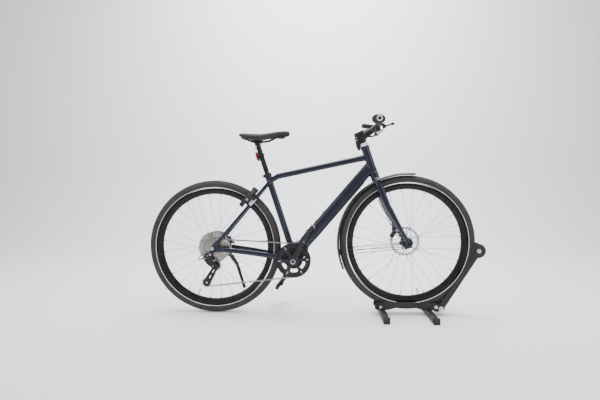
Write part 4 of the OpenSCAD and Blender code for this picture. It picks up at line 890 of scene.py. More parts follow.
def hose(name, points, radius, material, body, replaces=(), sides=6):
    """A round hose or wire bent smoothly through its points."""
    line = bpy.data.curves.new(name, "CURVE")
    line.dimensions = "3D"
    line.bevel_depth = radius / 1000
    line.bevel_resolution = sides
    line.use_fill_caps = True
    line.resolution_u = 10
    spline = line.splines.new("BEZIER")
    spline.bezier_points.add(len(points) - 1)
    for knot, point in zip(spline.bezier_points, points):
        knot.co = TO_ROW @ Vector(point)
        knot.handle_left_type = knot.handle_right_type = "AUTO"
    scratch = bpy.data.objects.new(name, line)
    bpy.context.collection.objects.link(scratch)
    bpy.context.view_layer.update()
    mesh = bpy.data.meshes.new_from_object(scratch.evaluated_get(bpy.context.evaluated_depsgraph_get()))
    bpy.data.objects.remove(scratch, do_unlink=True)
    mesh.name = name
    for face in mesh.polygons:
        face.use_smooth = True
    mesh.materials.clear()
    mesh.materials.append(material)
    made = bpy.data.objects.new(name, mesh)
    bpy.context.collection.objects.link(made)
    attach(made, body)
    if replaces:
        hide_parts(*replaces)
    return made


def bezier(start, lead, follow, end, count):
    """Points on a cubic curve."""
    return [start * (1 - t) ** 3 + lead * 3 * t * (1 - t) ** 2 + follow * 3 * t * t * (1 - t) + end * t ** 3
            for t in (k / count for k in range(count + 1))]


port = on_head(600, 30)
for side, name in ((-1, "right"), (1, "left")):
    union = on_bar(side * LEVER_MOUNT) + Vector((36, -side * 33, -6))
    points = bezier(union, union + Vector((16, -side * 60, -4)), port + Vector((60, side * 50, 0)),
                    port + Vector((0, side * 8, 0)), 9)
    hose(f"hose_{name}", points, 2.5, hose_skin, "fork", ["hoses"] if side < 0 else ())
    bm = bmesh.new()
    turned(bm, [(2.6, -2), (4.2, -2), (4.4, 0), (4.4, 5), (3.4, 6), (3.2, 11), (2.6, 11.4)], union,
           points[1] - points[0], 24, loop=True)
    piece(f"hose_union_{name}", bm, satin_black, "fork")
top, low = on_head(262, -14, 72), FRONT_HUB + Vector((0, 72, 0))
hose("hose_front_brake", bezier(top, top + Vector((30, 6, -70)), low + Vector((-78, 10, 130)),
                                low + Vector((-74, -10, 84)), 9), 2.5, hose_skin, "fork")

# ---- Front mudguard ----
# A rolled black mudguard with turned-in edges behind the front wheel, held by the crown and by two
# pairs of wire stays that meet at a clip on each fork blade.
guard_plastic = finish("mudguard_satin", (0.010, 0.010, 0.011), (0.020, 0.020, 0.021), 0.26, 0.42,
                       spread=18, fine=1300, cells=0.4, depth=0.12, coat=0.2)
bm = bmesh.new()
ridge = []
for a in range(-90, 91, 15):
    ridge.append((26.4 * math.sin(math.radians(a)), 360 + 12.4 * max(0.0, math.cos(math.radians(a))) ** 0.6))
under = [(y * 0.93, r - 1.7) for y, r in reversed(ridge)]
under[0], under[-1] = (ridge[-1][0] - 2.6, ridge[-1][1] + 0.4), (ridge[0][0] + 2.6, ridge[0][1] + 0.4)
loop = [bm.verts.new((r, 0, y)) for y, r in ridge + under]
edges = [bm.edges.new((loop[k], loop[(k + 1) % len(loop)])) for k in range(len(loop))]
bmesh.ops.rotate(bm, verts=loop, cent=(0, 0, 0), matrix=Matrix.Rotation(math.radians(84), 3, "Z"))
bm.faces.new(loop)
bmesh.ops.spin(bm, geom=loop + edges, axis=(0, 0, 1), cent=(0, 0, 0), angle=math.radians(119), steps=72)
bmesh.ops.contextual_create(bm, geom=[e for e in bm.edges if e.is_boundary])
bmesh.ops.transform(bm, matrix=Matrix.Translation(FRONT_HUB) @ Matrix.Rotation(math.radians(90), 4, "X"),
                    verts=bm.verts)
bmesh.ops.remove_doubles(bm, verts=bm.verts, dist=0.001)
bmesh.ops.recalc_face_normals(bm, faces=bm.faces)
piece("mudguard_shell", bm, guard_plastic, "fork", ["front_mudguard"], crease=50)
for side, name in ((-1, "right"), (1, "left")):
    for k in (0, 1):
        lean = math.radians(186 + k * 4)
        tie = FRONT_HUB + Vector((362 * math.cos(lean), side * 27.4, 362 * math.sin(lean)))
        anchor = FRONT_HUB + Vector((-18, side * 69.6, -14 - k * 7))
        hose(f"mudguard_stay_{name}_{k + 1}", [tie, tie.lerp(anchor, 0.06) + Vector((0, side * 3, 0)),
                tie.lerp(anchor, 0.5), tie.lerp(anchor, 0.94), anchor], 1.6, guard_plastic, "fork")
    bm = bmesh.new()
    clip = FRONT_HUB + Vector((-18, side * 67.6, -17.5))
    lofted(bm, [(clip + Vector((0, side * t, 0)), d, w, 2.6) for t, d,
                w in ((-1.6, 7.6, 6), (-1, 8.4, 6.6), (3, 8.4, 6.6), (4, 7.4, 5.6))], 24)
    for k in (0, 1):
        turned(bm, [(0, 0), (2.4, 0), (2.4, 1.6), (1.9, 2.2), (0, 2.2)],
               clip + Vector((0, side * 4, 3.5 - 7 * k)), (0, side, 0), 16)
    piece(f"mudguard_clip_{name}", bm, satin_black, "fork", crease=40)
    bm = bmesh.new()
    lean = math.radians(188)
    tie = FRONT_HUB + Vector((363 * math.cos(lean), side * 26.6, 363 * math.sin(lean)))
    along = Vector((math.sin(lean), 0, -math.cos(lean)))
    lofted(bm, [(tie + along * s, w, 1.6, 3) for s, w in ((-17, 4), (-15, 5.6), (15, 5.6), (17, 4))], 20)
    piece(f"mudguard_bridge_{name}", bm, satin_black, "fork", crease=40)

# ---- Brake calipers ----
# Two-piston flat-mount calipers straddle the discs: forged halves with round piston bosses, two
# bridge bolts, cooling fins on the pads and a banjo for the hose.
for hub, name, lean, foot, body in ((FRONT_HUB, "front", 148, (-62, 78), "fork"),
                                    (REAR_HUB, "rear", 24, (92, 8), "frame")):
    bm = bmesh.new()
    out = Vector((math.cos(math.radians(lean)), 0, math.sin(math.radians(lean))))
    along = Vector((-out.z, 0, out.x))
    middle = hub + out * 74 + Vector((0, 46.9, 0))
    for face_y, deep in ((-16.6, -2.4), (2.4, 16.6)):
        for span in ((-22, 22),):
            lofted(bm, [(middle + along * s + Vector((0, (face_y + deep) / 2, 0)), abs(deep - face_y) / 2,
                         w, 3) for s, w in ((span[0], 9), (span[0] + 3, 12), (span[1] - 3, 12),
                                            (span[1], 9))], 24)
        for s in (-9, 9):
            turned(bm, [(0, 0), (8.4, 0), (8.8, 0.8), (8.4, 2.4), (5, 3), (0, 2.6)],
                   middle + along * s + Vector((0, face_y if face_y < 0 else deep, 0)),
                   (0, -1 if face_y < 0 else 1, 0), 28)
    lofted(bm, [(middle + along * s + out * 9, 4.5, 13, 3) for s in (-19, 19)], 20)
    mount = hub + Vector((foot[0], 60.5, foot[1]))
    lofted(bm, [(middle + Vector((0, 9, 0)), 7, 7, 2.4),
                ((middle + Vector((0, 9, 0))).lerp(mount, 0.6), 6.4, 6, 2.4), (mount, 6, 5.5, 2.4)], 20)
    disc_room = bmesh.new()
    turned(disc_room, [(0, 44.9), (81, 44.9), (81, 49.1), (0, 49.1)], hub, steps=96)
    casting = fused(bm, 1.0, 3, (disc_room,))
    piece(f"caliper_{name}_body", casting, lever_metal, body, [f"{name}_caliper"], crease=45)
    bm = bmesh.new()
    for s in (-16, 16):
        turned(bm, [(0, 0), (3.4, 0), (3.8, 0.5), (3.8, 3.6), (3.2, 4.2), (1.9, 4.2), (1.7, 2), (0, 2)],
               middle + along * s + Vector((0, 16, 0)) + out * 2, (0, 1, 0), 20)
    turned(bm, [(0, 0), (4.8, 0), (5, 0.6), (5, 5), (4.4, 5.6), (0, 5.6)],
           middle + along * 20 + Vector((0, 8, 0)) - out * 2, along, 20)
    piece(f"caliper_{name}_bolts", bm, bolt_steel, body)
    bm = bmesh.new()
    for y in (45.2, 47.9):
        near, far = (y - 1.0, y - 0.2) if y < 46 else (y + 0.25, y + 1.0)
        heel = [middle - out * 3 + along * 12, middle + out * 13 + along * 10, middle + out * 13 - along * 10,
                middle - out * 3 - along * 12]
        cut_plate(bm, [[(p.x, p.z) for p in heel]], near, far)
    piece(f"caliper_{name}_pads", bm, disc_steel, body)

# ---- Motor ----
# The mid motor hangs between the down tube and the seat tube: a cast casing with a round gear
# cover on each side, cooling ribs, a plastic shroud and cap-head screws.
cast_black = finish("motor_casting", (0.011, 0.011, 0.012), (0.020, 0.020, 0.022), 0.42, 0.6, metallic=0.2,
                    spread=30, fine=900, cells=0.6, depth=0.35)
bm = bmesh.new()
for start, end, wide in (((427, 294), (427, 295), 98), ((427, 316), (463, 348), 83),
                         ((385, 300), (421, 354), 55)):
    a, b = Vector((start[0], 0, start[1])), Vector((end[0], 0, end[1]))
    for near, far, shrink in ((-36, 42, 0), (-33, 39, 1.6)):
        outline = bar_outline(start, end, wide + shrink)
        cut_plate(bm, [outline], near, far)
motor_room = bmesh.new()
turned(motor_room, [(0, -60), (25.6, -60), (25.6, -31), (0, -31)], CRANK, steps=48)
axle_tunnel = bmesh.new()
turned(axle_tunnel, [(0, -60), (12.4, -60), (12.4, 60), (0, 60)], CRANK, steps=40)
casing = fused(bm, 1.9, 5, (motor_room, axle_tunnel))
piece("motor_casing", casing, cast_black, "frame", ["motor"], crease=40)
bm = bmesh.new()
turned(bm, [(13, 41.2), (44, 41.2), (45, 42), (44.6, 44.2), (42, 45), (30, 45.6), (17, 45.8), (15, 47.4),
            (13, 47.4)], CRANK, steps=72, loop=True)
for angle in range(0, 360, 45):
    rib = CRANK + Vector((36 * math.cos(math.radians(angle)), 45.2, 36 * math.sin(math.radians(angle))))
    turned(bm, [(0, 0), (2.8, 0), (3, 0.4), (2.6, 1.6), (1.5, 1.6), (1.3, 0.6), (0, 0.6)], rib, (0, 1, 0), 14)
piece("motor_cover_left", bm, satin_black, "frame", crease=35)
bm = bmesh.new()
for near, far in ((-36.8, -35.2),):
    outer = bar_outline((432, 322), (461, 347), 66)
    moved = cut_plate(bm, [outer], near, far)
for x, z in ((404, 338), (470, 374), (492, 343), (440, 389), (391, 318)):
    for face_y in (-35.6, 41.6):
        turned(bm, [(0, 0), (3.4, 0), (3.6, 0.4), (3.6, 2.4), (3, 3), (1.8, 3), (1.6, 1.4), (0, 1.4)],
               (x, face_y, z), (0, face_y, 0), 16)
piece("motor_shroud_and_screws", bm, satin_black, "frame", bevel=0.5)
bm = bmesh.new()
for k in range(6):
    base = Vector((452 + 5.5 * k, 0, 297 + 7.5 * k))
    lofted(bm, [(base + Vector((0, y, 0)), 1.4, 3.4, 3) for y in (-30, 34)], 12)
piece("motor_cooling_ribs", bm, cast_black, "frame")

# ---- Cranks, chainring and pedals ----
# Forged black crank arms on a steel axle, a 44-tooth ring with a bash guard and six windows, and
# platform pedals with steel pins and amber reflectors.
crank_black = finish("crank_forged", (0.012, 0.012, 0.013), (0.022, 0.022, 0.024), 0.24, 0.4, metallic=0.35,
                     spread=45, fine=1700, cells=0.2, depth=0.1, coat=0.2)
CRANK_LEAN = math.radians(64)
bm = bmesh.new()
for side in (-1, 1):
    near = -88 if side < 0 else 75
    far = near + 13
    eye = CRANK - side * Vector((175 * math.cos(CRANK_LEAN), 0, 175 * math.sin(CRANK_LEAN)))
    middle_y = (near + far) / 2
    run = eye - CRANK
    lofted(bm, [(CRANK + run * t + Vector((0, middle_y + side * sink, 0)), d, w, 3.2) for t, d, w,
                sink in ((-0.05, 13, 5.6, 0), (0.0, 15.5, 6.5, 0), (0.1, 14.5, 6.4, 0), (0.3, 12.6, 5.8, 0),
                         (0.6, 11.6, 5.4, 0), (0.85, 11.6, 5.6, 0), (1.0, 12.2, 6.2, 0),
                         (1.05, 10.4, 5.4, 0))], 28)
    turned(bm, [(0, -6.5), (17.4, -6.5), (18, -5.6), (18, 5.6), (17.4, 6.5), (0, 6.5)],
           CRANK + Vector((0, middle_y, 0)), steps=48)
    turned(bm, [(0, -6.3), (12.2, -6.3), (12.8, -5.6), (12.8, 5.6), (12.2, 6.3), (0, 6.3)],
           eye + Vector((0, middle_y, 0)), steps=40)
turned(bm, [(0, -80), (12, -80), (12, 80), (0, 80)], CRANK, steps=40)
eyes = bmesh.new()
for side in (-1, 1):
    eye = CRANK - side * Vector((175 * math.cos(CRANK_LEAN), 0, 175 * math.sin(CRANK_LEAN)))
    turned(eyes, [(0, -20), (7.05, -20), (7.05, 20), (0, 20)], eye + Vector((0, side * 81.5, 0)), steps=32)
arms = fused(bm, 1.3, 4, (eyes,))
piece("crank_forging", arms, crank_black, "crank", ["crank_arms"], crease=45)
bm = bmesh.new()
for side in (-1, 1):
    turned(bm, [(8.6, 0), (12.8, 0), (13, 0.3), (12.8, 1), (8.8, 1.4), (8.6, 1)],
           CRANK + Vector((0, side * 88, 0)), (0, side, 0), 48, loop=True)
piece("crank_cap_rings", bm, disc_steel, "crank")
bm = bmesh.new()
for side in (-1, 1):
    turned(bm, [(0, -1), (8.6, -1), (8.6, 0.7), (7, 1.1), (4.4, 1.1), (4, -0.8), (0, -0.8)],
           CRANK + Vector((0, side * 88, 0)), (0, side, 0), 36)
piece("crank_bolts", bm, satin_black, "crank")


def toothed(teeth, phase, root_drop=3.9, tip_rise=3.1, centre=(0, 358)):
    """The outline of a chain wheel: rounded gaps for the rollers between hooked tooth tips."""
    pitch_radius = 12.7 / (2 * math.sin(math.pi / teeth))
    outline = []
    for tooth in range(teeth):
        at = math.radians(phase) + math.tau * tooth / teeth
        step = math.tau / teeth
        for share, rise in ((-0.5, -root_drop), (-0.36, -root_drop + 0.5), (-0.22, -0.6),
                            (-0.1, tip_rise * 0.8), (0.0, tip_rise), (0.1, tip_rise * 0.8), (0.22, -0.6),
                            (0.36, -root_drop + 0.5)):
            radius = pitch_radius + rise
            outline.append((centre[0] + radius * math.cos(at + share * step),
                            centre[1] + radius * math.sin(at + share * step)))
    return outline


def window(centre, inner, outer, start, end, soften=4):
    """A rounded window between two radii and two angles."""
    cx, cz = centre
    trim_in, trim_out = math.degrees(soften / inner), math.degrees(soften / outer)
    return (arc((cx, cz), outer, start + trim_out, end - trim_out, 10) + arc((cx, cz), outer - soften, end,
            end, 1)[:1] + arc((cx, cz), inner + soften, end, end, 1)[:1] + arc((cx, cz), inner,
            end - trim_in, start + trim_in, 8) + arc((cx, cz), inner + soften, start, start,
            1)[:1] + arc((cx, cz), outer - soften, start, start, 1)[:1])


bb = (CRANK.x, CRANK.z)
bm = bmesh.new()
cut_plate(bm, [toothed(44, 4.816, centre=bb), arc(bb, 69, 0, 357.5, 143)], -45.9, -44.1)
piece("chainring_teeth", bm, crank_black, "crank", ["chainring"], bevel=0.25)
bm = bmesh.new()
loops = [arc(bb, 76.5, 0, 357, 119)] + [window(bb, 30, 64, 60 * k + 14, 60 * k + 54, 5) for k in range(6)]
cut_plate(bm, loops, -49.6, -46.1)
turned(bm, [(12.1, -52.6), (22.4, -52.6), (24, -51.4), (24, -46.2), (12.1, -46.2)], CRANK, steps=60,
       loop=True)
piece("chainring_spider", bm, crank_black, "crank", bevel=0.6)
bm = bmesh.new()
cut_plate(bm, [arc(bb, 92.8, 0, 357.5, 143), arc(bb, 77.5, 0, 357.5, 143)], -52.4, -50.2)
piece("chainring_bash_guard", bm, satin_black, "crank", bevel=0.7)
bm = bmesh.new()
for k in range(6):
    at = math.radians(60 * k + 4)
    for radius, tall in ((71.5, -50.2), (80.5, -52.6)):
        turned(bm, [(0, 0), (3.6, 0), (4, 0.5), (4, 1.2), (3.4, 1.8), (2, 1.8), (1.8, 0.8),
                    (0, 0.8)] if radius < 80 else [(0, -2.4), (2.6, -2.4), (2.6, 0), (2.2, 0.6), (0, 0.6)],
               (CRANK.x + radius * math.cos(at), tall + 0.4, CRANK.z + radius * math.sin(at)), (0, -1, 0),
               18)
piece("chainring_bolts", bm, bolt_steel, "crank")

pedal_body = finish("pedal_resin", (0.013, 0.013, 0.014), (0.024, 0.024, 0.025), 0.48, 0.68, spread=60,
                    fine=900, cells=0.6, depth=0.5)
amber = finish("reflector_amber", (0.85, 0.22, 0.02), (0.95, 0.34, 0.04), 0.12, 0.25, spread=120, fine=420,
               cells=1.0, depth=0.8, coat=0.8)
for side, name in ((-1, "right"), (1, "left")):
    eye = CRANK - side * Vector((175 * math.cos(CRANK_LEAN), 0, 175 * math.sin(CRANK_LEAN)))
    centre = eye + Vector((0, side * 138, 0))
    level = Matrix.Translation(centre) @ Matrix.Rotation(-math.radians(52), 4, "Y")
    bm = bmesh.new()
    turned(bm, [(0, -50.4), (6.9, -50.4), (6.9, -49), (8, -48.6), (8, -44), (11, -42), (10.6, -20),
                (9.6, 0), (10.6, 22), (11, 38), (9.8, 41), (7, 42), (0, 42)], centre, (0, side, 0), 36)
    pair = bmesh.new()
    for x in (-44, 44):
        lofted(pair, [(Vector((x, y, 0)), 9.6 * h, 4.2 * h, 3.2) for y,
                      h in ((-44, 0.8), (-42, 1), (0, 1.02), (42, 1), (44, 0.8))], 20)
    for y in (-38.5, -13, 13, 38.5):
        lofted(pair, [(Vector((x, y, 0)), 8.6, 4.2, 3.2) for x in (-42, -20, 0, 20, 42)], 20)
    bmesh.ops.transform(pair, matrix=level, verts=pair.verts)
    spare = bpy.data.meshes.new("pedal_cage")
    pair.to_mesh(spare)
    pair.free()
    bm.from_mesh(spare)
    cage = fused(bm, 1.2, 3)
    piece(f"pedal_{name}_body", cage, pedal_body, f"pedal_{name}", [f"pedal_{name}"],
          crease=50)
    bm = bmesh.new()
    for x in (-44, 44):
        for y in (-38, -19, 0, 19, 38):
            for face in (-1, 1):
                turned(bm, [(0, 0), (1.9, 0), (1.9, 3.2), (1.4, 3.8), (0, 3.8)], Vector((x, y, face * 8.8)),
                       (0, 0, face), 10)
    for y in (-13, 13):
        for face in (-1, 1):
            turned(bm, [(0, 0), (1.9, 0), (1.9, 3.2), (1.4, 3.8), (0, 3.8)], Vector((0, y, face * 8)),
                   (0, 0, face), 10)
    bmesh.ops.transform(bm, matrix=level, verts=bm.verts)
    piece(f"pedal_{name}_pins", bm, bolt_steel, f"pedal_{name}")
    bm = bmesh.new()
    for x in (-48.6, 48.6):
        lofted(bm, [(Vector((x, y, 0)), 6.6 * h, 1.6, 4) for y,
                    h in ((-29, 0.85), (-28, 1), (28, 1), (29, 0.85))], 20)
    bmesh.ops.transform(bm, matrix=level, verts=bm.verts)
    piece(f"pedal_{name}_reflectors", bm, amber, f"pedal_{name}", crease=50)

# ---- Cassette, chain and derailleur ----
# Ten nickel-plated sprockets from 42 to 11 teeth, the large ones pierced to save weight; a steel
# chain of separate links; and a long-cage derailleur with two toothed jockey wheels.
cassette_nickel = finish("cassette_nickel", (0.27, 0.24, 0.22), (0.42, 0.38, 0.35), 0.2, 0.34, metallic=1.0,
                         spread=70, fine=1500, cells=0.2, depth=0.15)
chain_metal = finish("chain_plates", (0.17, 0.165, 0.16), (0.30, 0.29, 0.28), 0.24, 0.4, metallic=1.0,
                     spread=130, fine=1600, cells=0.2, depth=0.15)
bm = bmesh.new()
for k, teeth in enumerate((42, 37, 32, 28, 24, 21, 18, 15, 13, 11)):
    y = -45 + (4 - k) * 3.95
    radius = 12.7 / (2 * math.sin(math.pi / teeth))
    loops = [toothed(teeth, 2.77 if teeth == 24 else 7.0 * k), arc((0, 358), 15, 0, 350, 35)]
    if teeth >= 28:
        count = 7 if teeth > 32 else 6
        inner = 22 if teeth < 37 else 28
        loops += [window((0, 358), inner, radius - 10.5, 360 / count * n + 9 * k + 5,
                         360 / count * (n + 1) + 9 * k - 6, 2.5) for n in range(count)]
    cut_plate(bm, loops, y - 0.85, y + 0.85)
piece("cassette_sprockets", bm, cassette_nickel, "cassette", ["cassette"])
bm = bmesh.new()
turned(bm, [(6.1, -67.2), (12.6, -67.2), (14.4, -66.4), (15.4, -64), (16.4, -62), (16.9, -27), (6.1, -27)],
       REAR_HUB, steps=56, loop=True)
bmesh.ops.inset_individual(bm, faces=[f for f in bm.faces if abs(f.normal.y) < 0.5
                                      and f.calc_center_median().y < -60
                                      and (f.calc_center_median() - REAR_HUB).xz.length > 13.5],
                           thickness=0.2, depth=-0.4)
piece("cassette_body_and_lock_ring", bm, satin_black, "cassette")
paint("chain", chain_metal)

jockey = finish("jockey_resin", (0.012, 0.012, 0.013), (0.022, 0.022, 0.022), 0.5, 0.7, spread=90,
                fine=1200, depth=0.2)
for centre, name, phase in (((14, 262), "guide", 12.078), ((-37, 171), "tension", 12.646)):
    bm = bmesh.new()
    cut_plate(bm, [toothed(11, phase, centre=centre, tip_rise=2.4),
                   arc(centre, 4.3, 0, 342, 19)] + [arc((centre[0] + 10.4 * math.cos(math.radians(a)),
            centre[1] + 10.4 * math.sin(math.radians(a))), 2.2, 0, 330, 11) for a in range(0, 360, 72)],
              -46.1, -43.9)
    piece(f"{name}_jockey_wheel", bm, jockey, f"{name}_pulley", [f"{name}_pulley"],
          bevel=0.3)
bm = bmesh.new()
hang, guide, tension = (-8, 328), (14, 262), (-37, 171)
lofted(bm, [(Vector((hang[0], y, hang[1])), r, r, 2) for y,
            r in ((-89, 8.6), (-87.5, 10), (-78, 10), (-76.4, 9))], 28)
lofted(bm, [(Vector(p), d, w, 2.8) for p, d, w in (((-4, -83, 326), 9, 5), ((-16, -83.5, 323), 10, 5.6),
        ((-30, -84, 318), 11, 6), ((-40, -83, 312), 9, 5))], 24)
for shift, wide in ((-6, 5.2), (6, 5.2)):
    lofted(bm, [(Vector((-34 + shift * 0.6, -83, 314 + shift)), 8.5, wide, 2.8),
                (Vector((-14 + shift, -80, 288 + shift)), 9.5, wide, 2.8),
                (Vector((12 + shift * 0.6, -76, 262 + shift * 0.5)), 9, wide, 2.8)], 20)
lofted(bm, [(Vector((guide[0] + 1, y, guide[1])), r, r, 2) for y,
            r in ((-83, 10), (-81, 12), (-64, 12.4), (-53, 11))], 32)
derailleur_body = fused(bm, 1.2, 4)
piece("derailleur_body", derailleur_body, satin_black, "frame", ["derailleur"], crease=45)
bm = bmesh.new()
lean = math.degrees(math.atan2(tension[1] - guide[1], tension[0] - guide[0]))
along = Vector((tension[0] - guide[0], tension[1] - guide[1])).normalized()
for near, far in ((-52, -50.2), (-39.8, -38.2)):
    slots = []
    for share in (0.34, 0.66):
        middle = Vector(guide).lerp(Vector(tension), share)
        a, b = middle - along * 9, middle + along * 9
        slots.append(bar_outline(tuple(a), tuple(b), 5))
    cut_plate(bm, [bar_outline(guide, tension, 25, 40)] + slots, near, far)
piece("derailleur_cage", bm, satin_black, "frame", bevel=0.5)
bm = bmesh.new()
for centre in (guide, tension):
    turned(bm, [(0, -52.9), (3.8, -52.9), (4.6, -52.2), (4.6, -51), (3.95, -50.6), (3.95, -38),
                (4.6, -37.6), (4.4, -36.8), (0, -36.8)], (centre[0], 0, centre[1]), steps=24)
turned(bm, [(0, -90.6), (4.8, -90.6), (5.4, -90), (5.4, -88), (0, -88)], (hang[0], 0, hang[1]), steps=28)
for at in ((-34, 308), (-22, 322), (6, 268)):
    turned(bm, [(0, -90), (2.2, -90), (2.6, -89.4), (2.6, -76), (0, -76)], (at[0], 0, at[1]), steps=18)
piece("derailleur_pins", bm, bolt_steel, "frame")
bm = bmesh.new()
turned(bm, [(1.9, -2), (3.8, -2), (4, 4), (3.4, 12), (1.9, 12.4)], (-44, -82, 309), (-0.8, 0, -0.35), 20,
       loop=True)
piece("derailleur_barrel", bm, satin_black, "frame")
hose("gear_cable_loop", [Vector(p) for p in ((46, -72, 350), (16, -79, 341), (-28, -86, 333),
                                             (-62, -86, 318), (-66, -84, 300), (-54, -82, 305))], 2.1,
     hose_skin, "frame")

# ---- Seat post, clamp and rails ----
# A black aluminium post with a two-bolt head, a collar with its pinch bolt on the seat tube, and a
# pair of bent steel rails under the saddle.
post_metal = finish("post_anodised", (0.011, 0.011, 0.012), (0.020, 0.020, 0.022), 0.22, 0.34, metallic=0.4,
                    spread=40, fine=1900, cells=0.2, depth=0.1, stretch=(6, 6, 1))
POST_TOP = on_seat((972 - 66 - 294) / math.sin(SEAT_RAKE))
POST_UP = (on_seat(100) - on_seat(0)).normalized()
bm = bmesh.new()
lofted(bm, [(on_seat(s), 13.6, 13.6, 2) for s in (324, 400, 500, 600, 630)]
       + [(on_seat(640), 13.8, 14.5, 2.2), (POST_TOP + Vector((-0.5, 0, -2)), 12.5, 15, 2.4)], 36)
lofted(bm, [(POST_TOP + Vector((0, y, 4)), r, r, 2) for y,
            r in ((-30, 11), (-28, 12.5), (28, 12.5), (30, 11))], 32)
rail_room = bmesh.new()
for y in (-22, 22):
    turned(rail_room, [(0, 0), (3.6, 0), (3.6, 90), (0, 90)], POST_TOP + Vector((-45, y, 17)), (1, 0, 0), 24)
post_skin = fused(bm, 1.2, 3, (rail_room,))
piece("seat_post_tube", post_skin, post_metal, "seat", ["seat_post"], crease=45)
bm = bmesh.new()
for y in (-22, 22):
    side = math.copysign(1, y)
    for drop in (-1, 1):
        lofted(bm, [(POST_TOP + Vector((x, y, 17 + drop * 5)), 3.4 * h, 5.8, 3.2) for x,
                    h in ((-24, 0.7), (-21, 1), (21, 1), (24, 0.7))], 20)
    lofted(bm, [(POST_TOP + Vector((0, y + side * t, 6)), 14.5, 10, 3) for t in (-4, 5)], 20)
piece("seat_post_clamp", bm, satin_black, "seat", crease=40)
bm = bmesh.new()
for x in (-15, 15):
    turned(bm, [(0, 0), (4, 0), (4.3, 0.6), (4.3, 4.6), (3.7, 5.2), (2.2, 5.2), (2, 2.4), (0, 2.4)],
           POST_TOP + Vector((x, 0, -14 + 0.2 * x)), (0.05 * math.copysign(1, x), 0, -1), 22)
    turned(bm, [(0, 0), (2.4, 0), (2.4, 38), (0, 38)], POST_TOP + Vector((x, 0, -14)), (0, 0, 1), 18)
piece("seat_post_bolts", bm, bolt_steel, "seat")
for side, name in ((-1, "right"), (1, "left")):
    x, rail_z = POST_TOP.x, POST_TOP.z + 17
    hose(f"saddle_rail_{name}", [Vector(p) for p in ((x - 76, side * 40, rail_z + 24),
            (x - 66, side * 34, rail_z + 20), (x - 48, side * 26, rail_z + 6),
            (x - 32, side * 22.4, rail_z + 0.5), (x, side * 22, rail_z), (x + 48, side * 22, rail_z + 0.5),
            (x + 66, side * 20, rail_z + 5), (x + 98, side * 15, rail_z + 20),
            (x + 120, side * 11, rail_z + 26))], 3.5, post_metal, "seat",
         ["saddle_rails"] if side < 0 else ())
bm = bmesh.new()
lofted(bm, [(on_seat(s), r, r, 2) for s, r in ((464, 20.2), (465.5, 21.2), (480.5, 21.2), (482, 20.2))], 40)
lofted(bm, [(on_seat(474) + Vector((-22, y, -6)), 7, w, 3) for y,
            w in ((-10, 6.5), (-8.5, 7.8), (8.5, 7.8), (10, 6.5))], 20)
collar_room = bmesh.new()
turned(collar_room, [(0, 0), (17.7, 0), (17.7, 80), (0, 80)], on_seat(440), POST_UP, 40)
slot_room = bmesh.new()
bmesh.ops.create_cube(slot_room, size=1, matrix=Matrix.Translation(on_seat(474) + Vector((-26, 0, -6)))
                      @ Matrix.Diagonal((24, 1.6, 40, 1)))
collar = fused(bm, 0.9, 3, (collar_room, slot_room))
piece("seat_collar_ring", collar, satin_black, "frame", ["seat_collar"], crease=45)
bm = bmesh.new()
turned(bm, [(0, -13.6), (2.2, -13.6), (2.4, -11), (4.2, -11), (4.2, -10), (2.4, -10), (2.4, 10), (4.2, 10),
            (4.4, 10.6), (4.4, 13.6), (3.8, 14.2), (2.2, 14.2), (2, 12), (0, 12)],
       on_seat(474) + Vector((-25, 0, -6)), steps=24)
piece("seat_collar_bolt", bm, bolt_steel, "frame")

# ---- Saddle ----
# A slim foam saddle with a synthetic cover: a long nose, a dipped seat with a shallow centre
# channel, sewn panel seams and a hard shell under the cover's turned edge.
saddle_skin = finish("saddle_cover", (0.012, 0.012, 0.013), (0.022, 0.022, 0.023), 0.40, 0.58, spread=26,
                     fine=1500, cells=0.9, depth=0.35, sheen=0.15)
shell_resin = finish("saddle_shell", (0.010, 0.010, 0.010), (0.018, 0.018, 0.018), 0.5, 0.66, spread=40,
                     fine=1100, depth=0.25)
# the cover's cross-sections from tail to nose: position, half width, top and skirt
STATIONS = (
    (137, 30, 961.5, 956), (140, 44, 964.5, 952), (150, 60, 966.5, 947), (168, 71, 966.5, 940),
    (190, 74.5, 965.5, 936), (212, 70, 964.5, 933), (234, 58, 964.5, 932), (256, 44, 965.5, 935),
    (280, 34, 968, 939), (306, 28, 972, 943), (332, 24, 976.5, 947), (358, 21.5, 979.5, 950),
    (380, 19.5, 980.5, 951), (394, 16, 979.5, 953), (402, 10.5, 976.5, 957), (405.5, 4, 972.5, 962))


def saddle_section(half_width, top, skirt, shrink, drop, count=17):
    """Half of the cover's cross-section, from the middle out over the crown to the skirt."""
    points = []
    for k in range(count):
        t = k / (count - 1)
        angle = math.radians(90 - 118 * t)
        out = half_width * min(1.0, abs(math.cos(angle)) ** 0.72) if angle < math.pi / 2 else 0
        rise = math.sin(angle)
        height = top - (top - skirt) * (1 - max(0,
                rise) ** 0.85) * 0.62 if rise > 0 else skirt + (top - skirt) * 0.38 + rise * (top
                - skirt) * 0.8
        if rise < 0:
            out = half_width * (1 - 0.10 * rise * rise * 4)
        channel = 2.6 * math.exp(-(out / 7.5) ** 2) if half_width > 18 else 0
        points.append((out * shrink, height - channel - drop))
    return points


